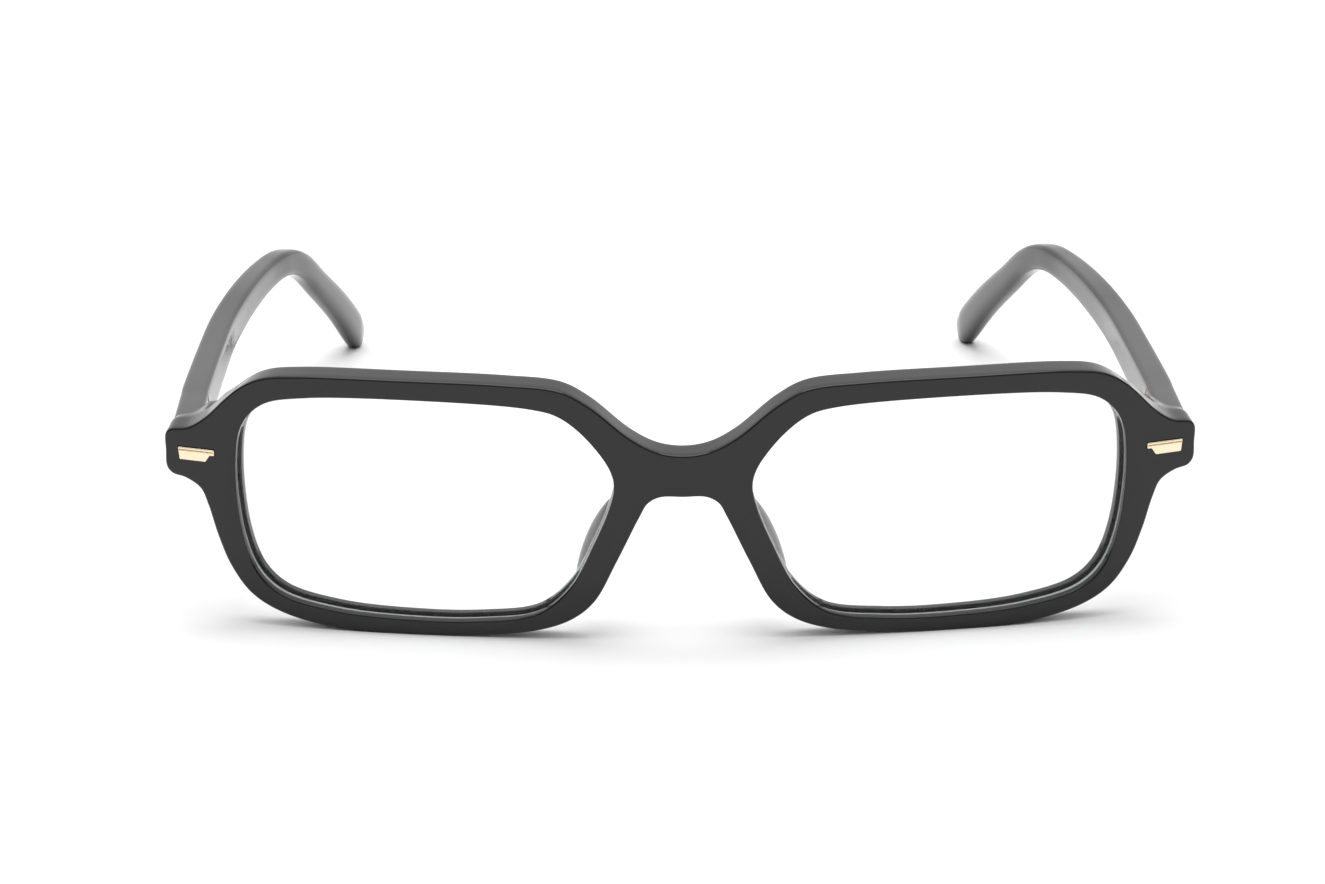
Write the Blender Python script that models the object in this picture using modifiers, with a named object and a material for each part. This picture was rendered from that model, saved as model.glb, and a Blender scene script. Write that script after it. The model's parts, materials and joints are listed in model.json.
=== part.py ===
"""Acetate spectacle frame with folding temples, clear demo lenses and gold end plaques.

The frame stands on a table, on the lower edges of its two rims and on its two temple tips, with
both temples open. X runs across the face, +Y runs back along the temples and +Z is up. The origin
is on the table, under the middle of the frame's footprint.

The front is designed as a flat sheet, in sheet coordinates (u, v, w): u across, v up and w the
depth behind the front face. bend_sheet() then curves it to the face and leans its top forward.
Everything that sits on the front is laid out in the same sheet coordinates.
"""
import math

import bmesh
import bpy
import numpy as np
from mathutils import Matrix, Vector

MM = 0.001

# Overall sizes, along the flat sheet for the front and along Y for the temples.
FRONT_HALF_WIDTH = 72.1 * MM
FRONT_HEIGHT = 38.2 * MM
TEMPLE_LENGTH = 131.8 * MM

# Front: the sheet, how it is curved and how it leans.
SHEET_THICKNESS = 4.0 * MM
FACE_RADIUS = 226.0 * MM
LEAN = math.radians(6.0)
LEAN_OFFSET = 2.5 * MM
EDGE_CHAMFER = 0.35 * MM
STRIP_COUNT = 29
REST_CUT = 0.15 * MM

# Half of the outer outline, from the top of the bridge round to its underside, in shares of the
# front's half width and height.
OUTER_HALF = (
    (0.000, 0.738), (0.050, 0.753), (0.100, 0.804), (0.178, 0.927), (0.233, 0.982),
    (0.340, 1.000), (0.534, 1.000), (0.735, 0.986), (0.807, 0.963), (0.854, 0.911),
    (0.918, 0.791), (0.953, 0.747), (0.989, 0.732), (0.999, 0.712), (1.000, 0.649),
    (0.999, 0.584), (0.989, 0.560), (0.960, 0.546), (0.932, 0.513), (0.918, 0.453),
    (0.900, 0.335), (0.875, 0.215), (0.836, 0.115), (0.774, 0.050), (0.645, 0.004),
    (0.527, 0.005), (0.402, 0.018), (0.284, 0.042), (0.214, 0.089), (0.169, 0.162),
    (0.125, 0.325), (0.082, 0.500), (0.067, 0.551), (0.044, 0.576),
)
# Lens opening on the +X side, in the same shares.
OPENING = (
    (0.131, 0.610), (0.139, 0.681), (0.186, 0.806), (0.236, 0.882), (0.287, 0.908),
    (0.483, 0.924), (0.721, 0.903), (0.802, 0.864), (0.845, 0.775), (0.860, 0.615),
    (0.849, 0.340), (0.821, 0.199), (0.777, 0.126), (0.673, 0.081), (0.527, 0.068),
    (0.388, 0.077), (0.277, 0.113), (0.215, 0.217), (0.171, 0.382), (0.141, 0.524),
)

# End pieces: the lugs behind the sheet's ends, and the mitre where the temples meet them.
END_V = 0.652 * FRONT_HEIGHT
LUG_HEIGHT = 8.6 * MM
LUG_INNER_U = FRONT_HALF_WIDTH - 8.1 * MM
LUG_CREST_U = FRONT_HALF_WIDTH - 6.3 * MM
LUG_SHOULDER = 1.2 * MM
LUG_STRAIGHT_FROM = FRONT_HALF_WIDTH - 9.9 * MM
LUG_TOE_IN = 0.115
END_ROUNDING = 0.68 * MM
LUG_DEPTH = 0.94 * MM
MITRE_ANGLE = math.radians(14.0)
MITRE_GAP = 0.08 * MM

# Where the mitre plane passes the outer faces of the temples.
OUTER_X = FACE_RADIUS * math.sin(FRONT_HALF_WIDTH / FACE_RADIUS) - END_ROUNDING
END_CURVE_Y = FACE_RADIUS * (1.0 - math.cos(FRONT_HALF_WIDTH / FACE_RADIUS))
END_Y = END_CURVE_Y * math.cos(LEAN) - END_V * math.sin(LEAN) + LEAN_OFFSET
MITRE_Y = END_Y + SHEET_THICKNESS + LUG_DEPTH
MITRE_REACH = OUTER_X * math.sin(MITRE_ANGLE) + MITRE_Y * math.cos(MITRE_ANGLE)

# Lenses: clear demo lenses held in a groove round each opening.
LENS_THICKNESS = 1.6 * MM
LENS_INSERT = 0.45 * MM
LENS_DEPTH = 1.9 * MM
LENS_EDGE_CHAMFER = 0.44 * MM
GROOVE_CLEARANCE = 0.1 * MM

# Nose pads: cemented behind the inner flank of each rim. Their ends are at shares of the front's
# half width and height.
PAD_TOP = (0.110 * FRONT_HALF_WIDTH, 0.534 * FRONT_HEIGHT)
PAD_FOOT = (0.197 * FRONT_HALF_WIDTH, 0.157 * FRONT_HEIGHT)
PAD_DEPTH = 5.2 * MM
PAD_BASE_WIDTH = 2.8 * MM
PAD_TIP_WIDTH = 1.8 * MM
PAD_SPLAY = 2.0 * MM
PAD_JOINT = 0.1 * MM

# Plaques: gold, let into the front face of each end piece and held by two posts.
PLAQUE_INSET = 1.9 * MM
PLAQUE_LENGTH = 5.3 * MM
PLAQUE_TOP_V = END_V + 0.7 * MM
PLAQUE_HEIGHT = 1.85 * MM
PLAQUE_NECK_HEIGHT = 0.85 * MM
PLAQUE_STEP = 1.3 * MM
PLAQUE_CORNER = 0.15 * MM
PLAQUE_CHAMFER = 0.12 * MM
PLAQUE_PROUD = 0.25 * MM
PLAQUE_SUNK = 0.25 * MM
PLAQUE_CLEARANCE = 0.06 * MM
POST_RADIUS = 0.35 * MM
POST_LENGTH = 1.5 * MM
POST_INSET = 1.75 * MM
POST_SIDES = 12

# Temples: stations along the temple on the +X side. Each has its share of the temple's length,
# its outer face's distance inside OUTER_X in millimetres, its middle's height as a share of
# TEMPLE_Z, and its width and height in millimetres.
TEMPLE_Z = END_V + 1.0 * MM
TEMPLE_STATIONS = (
    (0.000, 0.00, 1.000, 4.1, 6.2), (0.044, 0.00, 1.000, 4.1, 6.1),
    (0.090, 0.00, 1.000, 4.1, 5.95), (0.135, 0.00, 1.002, 4.1, 5.8),
    (0.272, 0.55, 1.008, 4.0, 5.3), (0.393, 1.35, 1.019, 3.9, 4.9),
    (0.507, 3.10, 1.035, 3.8, 4.6), (0.613, 5.35, 1.031, 3.7, 4.3),
    (0.689, 7.80, 1.008, 3.6, 4.2), (0.753, 10.05, 0.900, 3.5, 4.3),
    (0.825, 12.30, 0.680, 3.4, 4.7), (0.905, 14.75, 0.430, 3.3, 5.3),
    (0.973, 16.70, 0.193, 3.2, 5.9), (1.000, 17.40, 0.097, 2.9, 5.5),
)
TEMPLE_RINGS_PER_STATION = 3
CORNER_RADIUS = 0.8 * MM

# Hinges: five knuckles on a screw, at the inner corner of each mitre.
HINGE_INSET = 5.0 * MM
HINGE_SETBACK = 0.4 * MM
KNUCKLE_COUNT = 5
KNUCKLE_HEIGHT = 1.04 * MM
KNUCKLE_GAP = 0.06 * MM
HINGE_HEIGHT = KNUCKLE_COUNT * KNUCKLE_HEIGHT + (KNUCKLE_COUNT - 1) * KNUCKLE_GAP
HINGE_BOTTOM_Z = TEMPLE_Z - HINGE_HEIGHT / 2 - 0.3 * MM
KNUCKLE_RADIUS = 1.3 * MM
KNUCKLE_RELIEF = 0.2 * MM
HINGE_X = OUTER_X - HINGE_INSET
HINGE_Y = MITRE_Y + HINGE_INSET * math.tan(MITRE_ANGLE) + KNUCKLE_RADIUS + HINGE_SETBACK
SCREW_RADIUS = 0.6 * MM
BORE_CLEARANCE = 0.05 * MM
SCREW_HEAD_RADIUS = 1.05 * MM
SCREW_HEAD_HEIGHT = 0.5 * MM
SLOT_WIDTH = 0.3 * MM
SLOT_DEPTH = 0.25 * MM
LEAF_THICKNESS = 0.9 * MM
FRONT_LEAF_LENGTH = 5.2 * MM
TEMPLE_LEAF_LENGTH = 9.0 * MM
LEAF_CLEARANCE = 0.08 * MM

# Core wires: nickel silver, shot into a channel that is open at the temple's front end.
CORE_WIDTH = 1.0 * MM
CORE_HEIGHT = 2.2 * MM
CORE_CORNER = 0.2 * MM
CORE_SIDE_OFFSET = 0.35 * MM
CORE_CLEARANCE = 0.1 * MM
CORE_FIRST_RING = 1
CORE_RINGS = 31

ROUND_SIDES = 20
PAST = 5.0 * MM
SIDES = (("left", 1), ("right", -1))

COLOURS = {
    "acetate": ((0.008, 0.0075, 0.008), 0.12, 0.0),
    "clear_lens": ((0.9, 0.92, 0.92), 0.03, 0.0),
    "gold": ((0.83, 0.62, 0.36), 0.22, 1.0),
    "nickel_silver": ((0.62, 0.59, 0.54), 0.3, 1.0),
}


# --- scene and materials -------------------------------------------------------------------

def clear_scene():
    """Remove every object that the file starts with."""
    for thing in list(bpy.data.objects):
        bpy.data.objects.remove(thing, do_unlink=True)


def make_collection(name):
    """A new collection in the scene."""
    group = bpy.data.collections.new(name)
    bpy.context.scene.collection.children.link(group)
    return group


def make_material(name, finish):
    """A Principled material of its own for one piece."""
    colour, roughness, metallic = COLOURS[finish]
    material = bpy.data.materials.new(name)
    material.use_nodes = True
    shader = material.node_tree.nodes["Principled BSDF"]
    shader.inputs["Base Color"].default_value = (*colour, 1.0)
    shader.inputs["Roughness"].default_value = roughness
    shader.inputs["Metallic"].default_value = metallic
    return material


def add_object(name, mesh, collection):
    """An object for the mesh, in a collection."""
    thing = bpy.data.objects.new(name, mesh)
    collection.objects.link(thing)
    return thing


def add_piece(name, mesh, finish):
    """A piece of the frame: its object, with a material of its own."""
    mesh.name = name
    mesh.materials.clear()
    mesh.materials.append(make_material(name, finish))
    mesh.shade_smooth()
    mesh.set_sharp_from_angle(angle=math.radians(30.0))
    return add_object(name, mesh, PIECES)


def add_cutter(name, mesh):
    """A hidden solid that cuts a piece."""
    thing = add_object(name, mesh, CUTTERS)
    thing.hide_render = True
    thing.display_type = "WIRE"
    return thing


def combine(piece, tool, operation):
    """Join a solid to a piece or cut it away, with a Boolean modifier."""
    modifier = piece.modifiers.new(tool.name, "BOOLEAN")
    modifier.operation = operation
    modifier.solver = "EXACT"
    modifier.object = tool


def mesh_from(bm, name):
    """A mesh from a bmesh, with its faces turned outwards."""
    bmesh.ops.recalc_face_normals(bm, faces=bm.faces)
    mesh = bpy.data.meshes.new(name)
    bm.to_mesh(mesh)
    bm.free()
    return mesh


# --- outlines ------------------------------------------------------------------------------

def closed_spline(points, samples=24):
    """Smooth closed curve through the points: centripetal Catmull-Rom, as an array of points."""
    p = np.array(points, dtype=float)
    before = np.roll(p, 1, axis=0)
    after = np.roll(p, -1, axis=0)
    beyond = np.roll(p, -2, axis=0)
    t1 = np.linalg.norm(p - before, axis=1)[:, None, None] ** 0.5
    t2 = t1 + np.linalg.norm(after - p, axis=1)[:, None, None] ** 0.5
    t3 = t2 + np.linalg.norm(beyond - after, axis=1)[:, None, None] ** 0.5
    share = np.linspace(0.0, 1.0, samples, endpoint=False)[None, :, None]
    t = t1 + (t2 - t1) * share
    p0, p1, p2, p3 = (q[:, None, :] for q in (before, p, after, beyond))
    a1 = p0 * (t1 - t) / t1 + p1 * t / t1
    a2 = p1 * (t2 - t) / (t2 - t1) + p2 * (t - t1) / (t2 - t1)
    a3 = p2 * (t3 - t) / (t3 - t2) + p3 * (t - t2) / (t3 - t2)
    b1 = a1 * (t2 - t) / t2 + a2 * t / t2
    b2 = a2 * (t3 - t) / (t3 - t1) + a3 * (t - t1) / (t3 - t1)
    return (b1 * (t2 - t) / (t2 - t1) + b2 * (t - t1) / (t2 - t1)).reshape(-1, 2)


def thin_out(curve, turn=math.radians(11.0), reach=6.0 * MM):
    """Keep the ends of an open curve, and the points where it has turned or run on far enough."""
    kept = [0]
    heading = np.arctan2(*np.diff(curve, axis=0).T[::-1])
    for i in range(1, len(curve) - 3):
        turned = abs((heading[i] - heading[kept[-1]] + math.pi) % (2 * math.pi) - math.pi)
        if turned > turn or np.linalg.norm(curve[i] - curve[kept[-1]]) > reach:
            kept.append(i)
    return np.vstack([curve[kept], curve[-1:]])


def grown(curve, distance):
    """A closed curve moved outwards by a distance, along its own normals."""
    along = np.roll(curve, -1, axis=0) - np.roll(curve, 1, axis=0)
    along /= np.linalg.norm(along, axis=1)[:, None]
    area = np.sum(curve[:, 0] * np.roll(curve[:, 1], -1) - np.roll(curve[:, 0], -1) * curve[:, 1])
    return curve + np.stack([along[:, 1], -along[:, 0]], axis=1) * distance * np.sign(area)


def mirrored(curve, side):
    """The curve itself for side 1, or its mirror image across u = 0 for side -1."""
    return curve * np.array([side, 1.0])


def front_points(shares):
    """Points of the flat sheet from shares of the front's half width and height."""
    return [(u * FRONT_HALF_WIDTH, v * FRONT_HEIGHT) for u, v in shares]


def front_outline(samples=24):
    """Whole outer outline of the front: the half outline and its mirror image."""
    half = front_points(OUTER_HALF)
    underside = (0.0, half[-1][1] + 0.05 * MM)
    other = [(-u, v) for u, v in half[:0:-1]]
    curve = closed_spline(half + [underside] + other, samples)
    kept = thin_out(curve[:len(half) * samples + 1])
    return np.vstack([kept, mirrored(kept[-2:0:-1], -1)])


def opening_outline():
    """The opening on the +X side."""
    return thin_out(closed_spline(front_points(OPENING)))[:-1]


# --- the curved sheet ----------------------------------------------------------------------

def smooth_step(x):
    """0 below 0, 1 above 1, and a smooth rise between them."""
    x = np.clip(x, 0.0, 1.0)
    return x * x * (3.0 - 2.0 * x)


def sheet_point(u, v):
    """Front face of the curved sheet before it leans, and the angle at which its depth runs."""
    angle = u / FACE_RADIUS
    share = smooth_step((np.abs(u) - LUG_STRAIGHT_FROM) / (LUG_INNER_U - LUG_STRAIGHT_FROM))
    toe = angle * (1.0 - share) + np.sign(u) * LUG_TOE_IN * share
    return FACE_RADIUS * np.sin(angle), FACE_RADIUS * (1.0 - np.cos(angle)), toe


def bend_sheet(u, v, w):
    """Sheet coordinates to the bench: rolled round a vertical cylinder, then leant forward."""
    x, y, toe = sheet_point(u, v)
    x = x - w * np.sin(toe)
    y = y + w * np.cos(toe)
    drop = y * math.cos(LEAN) - v * math.sin(LEAN) + LEAN_OFFSET
    rise = v * math.cos(LEAN) + y * math.sin(LEAN)
    return np.stack([x, drop, rise], axis=-1)


def mitre_depth(u, v):
    """Depth at which a line through the sheet at (u, v) meets the mitre plane."""
    x, y, toe = sheet_point(u, v)
    slant, face = math.sin(MITRE_ANGLE), math.cos(MITRE_ANGLE)
    start = np.abs(x) * slant + (y * math.cos(LEAN) - v * math.sin(LEAN) + LEAN_OFFSET) * face
    gain = np.cos(toe) * math.cos(LEAN) * face - np.abs(np.sin(toe)) * slant
    return (MITRE_REACH - start) / gain


def lug_depth(u, v):
    """Depth of the lug's back: the mitre plane, and a slope from its crest to its inner edge."""
    crest = mitre_depth(LUG_CREST_U, v)
    share = (LUG_CREST_U - abs(u)) / (LUG_CREST_U - LUG_INNER_U)
    if share <= 0.0:
        return mitre_depth(u, v)
    return crest + (SHEET_THICKNESS + LUG_SHOULDER - crest) * share


def mitre_y(x, gap=0.0):
    """Where the mitre plane, moved back by a gap, stands at a distance x from the middle."""
    return (MITRE_REACH + gap - np.abs(x) * math.sin(MITRE_ANGLE)) / math.cos(MITRE_ANGLE)


def flat_sheet(name, loops, front, back, chamfer=0.0):
    """Flat solid with the first loop as its outline and the others as holes, as a bmesh.

    Its vertices stand at (u, v, -w), and it runs from depth front to depth back.
    """
    curve = bpy.data.curves.new(name, "CURVE")
    curve.dimensions = "2D"
    curve.fill_mode = "BOTH"
    curve.bevel_resolution = 0
    curve.bevel_depth = chamfer
    curve.offset = -chamfer
    curve.extrude = (back - front) / 2 - chamfer
    for loop in loops:
        spline = curve.splines.new("POLY")
        spline.points.add(len(loop) - 1)
        spline.points.foreach_set("co", np.c_[loop, np.zeros(len(loop)), np.ones(len(loop))].ravel())
        spline.use_cyclic_u = True
    thing = add_object(name, curve, CUTTERS)
    evaluated = thing.evaluated_get(bpy.context.evaluated_depsgraph_get())
    mesh = bpy.data.meshes.new_from_object(evaluated)
    bpy.data.objects.remove(thing, do_unlink=True)
    bm = bmesh.new()
    bm.from_mesh(mesh)
    bpy.data.meshes.remove(mesh)
    bmesh.ops.remove_doubles(bm, verts=bm.verts, dist=0.002 * MM)
    bmesh.ops.translate(bm, verts=bm.verts, vec=(0.0, 0.0, -(front + back) / 2))
    return bm


def score(bm, u=None, v=None):
    """Cut new edges right across a flat sheet, along a line of constant u or v."""
    normal = (1.0, 0.0, 0.0) if v is None else (0.0, 1.0, 0.0)
    place = (u or 0.0, v or 0.0, 0.0)
    geometry = bm.verts[:] + bm.edges[:] + bm.faces[:]
    bmesh.ops.bisect_plane(bm, geom=geometry, dist=0.001 * MM, plane_co=place, plane_no=normal)


def score_strips(bm):
    """Cut a flat sheet into upright strips, so that it can be bent."""
    us = [vert.co.x for vert in bm.verts]
    for line in np.linspace(-FRONT_HALF_WIDTH, FRONT_HALF_WIDTH, STRIP_COUNT + 1):
        if min(us) < line < max(us):
            score(bm, u=float(line))


def bend(bm):
    """Move a flat sheet's vertices onto the curved, leaning front."""
    co = np.array([vert.co for vert in bm.verts])
    for vert, place in zip(bm.verts, bend_sheet(co[:, 0], co[:, 1], -co[:, 2])):
        vert.co = place


def curved_plate(name, loop, front, back, chamfer=0.0):
    """Mesh of a plate on the curved front."""
    bm = flat_sheet(name, [loop], front, back, chamfer)
    score_strips(bm)
    bend(bm)
    return mesh_from(bm, name)


# --- small solids --------------------------------------------------------------------------

def loft(name, rings):
    """Solid skin through closed rings of equal length, with a flat cap at each end."""
    bm = bmesh.new()
    rows = [[bm.verts.new(point) for point in ring] for ring in rings]
    count = len(rows[0])
    for low, high in zip(rows, rows[1:]):
        for i in range(count):
            bm.faces.new((low[i], low[(i + 1) % count], high[(i + 1) % count], high[i]))
    bm.faces.new(rows[0])
    bm.faces.new(rows[-1])
    return mesh_from(bm, name)


def add_cylinder(bm, centre, radius, bottom, top, sides=ROUND_SIDES):
    """Add an upright cylinder to a bmesh."""
    place = Matrix.Translation((centre[0], centre[1], (bottom + top) / 2))
    bmesh.ops.create_cone(bm, cap_ends=True, segments=sides, radius1=radius, radius2=radius,
                          depth=top - bottom, matrix=place)


def add_box(bm, low, high):
    """Add a box to a bmesh from its lowest and highest corners."""
    low, high = Vector(low), Vector(high)
    place = Matrix.Translation((low + high) / 2) @ Matrix.Diagonal((*(high - low), 1.0))
    bmesh.ops.create_cube(bm, size=1.0, matrix=place)


def cylinder_mesh(name, centre, radius, bottom, top):
    """Mesh of one upright cylinder."""
    bm = bmesh.new()
    add_cylinder(bm, centre, radius, bottom, top)
    return mesh_from(bm, name)


def box_mesh(name, low, high):
    """Mesh of one box."""
    bm = bmesh.new()
    add_box(bm, low, high)
    return mesh_from(bm, name)


def knuckle_span(index):
    """Bottom and top of one knuckle of the hinge."""
    bottom = HINGE_BOTTOM_Z + index * (KNUCKLE_HEIGHT + KNUCKLE_GAP)
    return bottom, bottom + KNUCKLE_HEIGHT


def box_between(x_a, x_b, y_a, y_b, z_a, z_b):
    """Lowest and highest corners of the box between two opposite corners in any order."""
    return ((min(x_a, x_b), min(y_a, y_b), min(z_a, z_b)),
            (max(x_a, x_b), max(y_a, y_b), max(z_a, z_b)))


# --- the pieces ----------------------------------------------------------------------------

def make_front(outline, opening):
    """The acetate front: curved sheet, two openings and a lug behind each end."""
    holes = [mirrored(opening, side) for _, side in SIDES]
    bm = flat_sheet("front", [outline, *holes], 0.0, SHEET_THICKNESS, EDGE_CHAMFER)
    score_strips(bm)
    for _, side in SIDES:
        score(bm, u=side * LUG_INNER_U)
        score(bm, u=side * LUG_CREST_U)
    score(bm, v=END_V - LUG_HEIGHT / 2)
    score(bm, v=END_V + LUG_HEIGHT / 2)
    raise_lugs(bm)
    bend(bm)
    front = add_piece("front", mesh_from(bm, "front"), "acetate")
    for name, side in SIDES:
        groove = grown(mirrored(opening, side), LENS_INSERT + GROOVE_CLEARANCE)
        half = LENS_THICKNESS / 2 + GROOVE_CLEARANCE
        mesh = curved_plate(f"groove_{name}", groove, LENS_DEPTH - half, LENS_DEPTH + half)
        combine(front, add_cutter(f"groove_{name}", mesh), "DIFFERENCE")
    return front


def raise_lugs(bm):
    """Extrude the back of each end of the sheet to the mitre plane."""
    back = -SHEET_THICKNESS + 0.01 * MM
    lug_faces = []
    for face in bm.faces:
        middle = face.calc_center_median()
        inside = abs(middle.x) > LUG_INNER_U and abs(middle.y - END_V) < LUG_HEIGHT / 2
        if inside and all(vert.co.z < back for vert in face.verts):
            lug_faces.append(face)
    raised = bmesh.ops.extrude_face_region(bm, geom=lug_faces)
    bmesh.ops.delete(bm, geom=lug_faces, context="FACES")
    for vert in raised["geom"]:
        if isinstance(vert, bmesh.types.BMVert):
            vert.co.z = -float(lug_depth(vert.co.x, vert.co.y))


def make_lens(name, side, opening):
    """Clear lens, a little wider than its opening and as curved as the front."""
    loop = grown(mirrored(opening, side), LENS_INSERT)
    half = LENS_THICKNESS / 2
    mesh = curved_plate(f"lens_{name}", loop, LENS_DEPTH - half, LENS_DEPTH + half,
                        LENS_EDGE_CHAMFER)
    return add_piece(f"lens_{name}", mesh, "clear_lens")


def make_nose_pad(name, side):
    """Crescent pad on the back of the rim beside the nose, splayed outwards as it runs back."""
    rings = []
    for share in np.linspace(0.0, 1.0, 9):
        u = PAD_TOP[0] + (PAD_FOOT[0] - PAD_TOP[0]) * share
        v = PAD_TOP[1] + (PAD_FOOT[1] - PAD_TOP[1]) * share
        swell = 0.25 + 0.75 * math.sin(math.pi * share) ** 0.6
        depth = PAD_DEPTH * swell
        base = PAD_BASE_WIDTH / 2 * (0.55 + 0.45 * swell)
        tip = PAD_TIP_WIDTH / 2 * swell
        shift = PAD_SPLAY * swell
        across = ((-base, 0.0), (-base + 0.35 * shift, 0.5), (shift - tip, 0.88),
                  (shift - 0.45 * tip, 1.0), (shift + 0.45 * tip, 1.0), (shift + tip, 0.86),
                  (base + 0.5 * shift, 0.45), (base, 0.0))
        offsets, depths = np.array(across).T
        w = SHEET_THICKNESS + PAD_JOINT + depths * depth
        rings.append(bend_sheet(side * (u + offsets), np.full(len(offsets), v), w))
    return add_piece(f"nose_pad_{name}", loft(f"nose_pad_{name}", rings), "acetate")


def plaque_loop(side, clearance=0.0):
    """Outline of the plaque: a bar with a narrow neck at its inner end."""
    outer = FRONT_HALF_WIDTH - PLAQUE_INSET
    inner = outer - PLAQUE_LENGTH
    top = PLAQUE_TOP_V
    neck = top - PLAQUE_NECK_HEIGHT
    bottom = top - PLAQUE_HEIGHT
    corner = PLAQUE_CORNER
    loop = np.array([
        (inner + corner, top), (inner, top - corner), (inner, neck + corner), (inner + corner, neck),
        (inner + PLAQUE_STEP / 2, neck), (inner + PLAQUE_STEP, bottom),
        (outer - 2 * corner, bottom), (outer - corner / 2, bottom + 1.5 * corner),
        (outer, top - corner), (outer - corner, top),
    ])
    return mirrored(grown(loop, clearance), side)


def post_places(side):
    """Where the two posts of a plaque stand, in u and v."""
    middle = PLAQUE_TOP_V - PLAQUE_HEIGHT / 2
    far = FRONT_HALF_WIDTH - PLAQUE_INSET - POST_INSET
    near = FRONT_HALF_WIDTH - PLAQUE_INSET - PLAQUE_LENGTH + POST_INSET
    return [(side * near, middle), (side * far, middle)]


def post_loop(place, radius):
    """Round outline of a post."""
    turn = np.linspace(0.0, 2 * math.pi, POST_SIDES, endpoint=False)
    return np.stack([place[0] + radius * np.cos(turn), place[1] + radius * np.sin(turn)], axis=1)


def posts_mesh(name, side, radius, length):
    """Both posts of a plaque, or both of their holes, as one mesh."""
    bm = bmesh.new()
    for place in post_places(side):
        post = curved_plate(name, post_loop(place, radius), 0.0, length)
        bm.from_mesh(post)
        bpy.data.meshes.remove(post)
    return mesh_from(bm, name)


def make_plaque(name, side, front):
    """Gold plaque with its two posts, and the recess and holes that take them."""
    mesh = curved_plate(f"plaque_{name}", plaque_loop(side), -PLAQUE_PROUD, PLAQUE_SUNK,
                        PLAQUE_CHAMFER)
    plaque = add_piece(f"plaque_{name}", mesh, "gold")
    recess = curved_plate(f"recess_{name}", plaque_loop(side, PLAQUE_CLEARANCE), -PAST,
                          PLAQUE_SUNK + PLAQUE_CLEARANCE)
    combine(front, add_cutter(f"recess_{name}", recess), "DIFFERENCE")
    length = PLAQUE_SUNK + POST_LENGTH
    posts = posts_mesh(f"posts_{name}", side, POST_RADIUS, length)
    combine(plaque, add_cutter(f"posts_{name}", posts), "UNION")
    holes = posts_mesh(f"post_holes_{name}", side, POST_RADIUS + PLAQUE_CLEARANCE,
                       length + PLAQUE_CLEARANCE)
    combine(front, add_cutter(f"post_holes_{name}", holes), "DIFFERENCE")
    return plaque


def hinge_centre(side):
    """Where the hinge's axis stands on the bench."""
    return (side * HINGE_X, HINGE_Y)


def relief_cylinder(name, side, bottom, top):
    """Cutter that clears the turning knuckles."""
    mesh = cylinder_mesh(name, hinge_centre(side), KNUCKLE_RADIUS + KNUCKLE_RELIEF, bottom, top)
    return add_cutter(name, mesh)


def knuckles_mesh(name, side, indices, radius, margin):
    """Cylinders round the hinge axis at some of the knuckles, longer by a margin at each end."""
    bm = bmesh.new()
    for index in indices:
        bottom, top = knuckle_span(index)
        add_cylinder(bm, hinge_centre(side), radius, bottom - margin, top + margin)
    return mesh_from(bm, name)


def leaf_levels():
    """Bottom and top of the hinge leaves."""
    return knuckle_span(0)[0], knuckle_span(KNUCKLE_COUNT - 1)[1]


def front_leaf_box(side, clearance=0.0):
    """Leaf that runs forward from the hinge into the lug."""
    bottom, top = leaf_levels()
    near = HINGE_X - LEAF_THICKNESS / 2 - clearance
    far = HINGE_X + LEAF_THICKNESS / 2 + clearance
    start = HINGE_Y - KNUCKLE_RADIUS - FRONT_LEAF_LENGTH - clearance
    end = HINGE_Y - KNUCKLE_RADIUS * 0.6
    return box_between(side * near, side * far, start, end, bottom - clearance, top + clearance)


def temple_leaf_box(side, clearance=0.0):
    """Leaf that runs back from the hinge along the temple's inner face."""
    bottom, top = leaf_levels()
    face = HINGE_X + KNUCKLE_RADIUS * 0.75
    start = HINGE_Y - KNUCKLE_RADIUS * 0.5 - clearance
    end = HINGE_Y + TEMPLE_LEAF_LENGTH + clearance
    inner = face - (PAST if clearance else 0.0)
    outer = face + LEAF_THICKNESS + clearance
    return box_between(side * inner, side * outer, start, end, bottom - clearance, top + clearance)


def make_hinge_half(name, side, leaf, knuckles, others):
    """One half of a hinge: its leaf, its own knuckles, and room for the other half's."""
    half = add_piece(name, box_mesh(name, *leaf), "gold")
    relief = knuckles_mesh(f"{name}_relief", side, others, KNUCKLE_RADIUS + KNUCKLE_RELIEF,
                           KNUCKLE_GAP)
    combine(half, add_cutter(f"{name}_relief", relief), "DIFFERENCE")
    barrel = knuckles_mesh(f"{name}_knuckles", side, knuckles, KNUCKLE_RADIUS, 0.0)
    combine(half, add_cutter(f"{name}_knuckles", barrel), "UNION")
    bottom, top = leaf_levels()
    bore = cylinder_mesh(f"{name}_bore", hinge_centre(side), SCREW_RADIUS + BORE_CLEARANCE,
                         bottom - PAST, top + PAST)
    combine(half, add_cutter(f"{name}_bore", bore), "DIFFERENCE")
    return half


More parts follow.
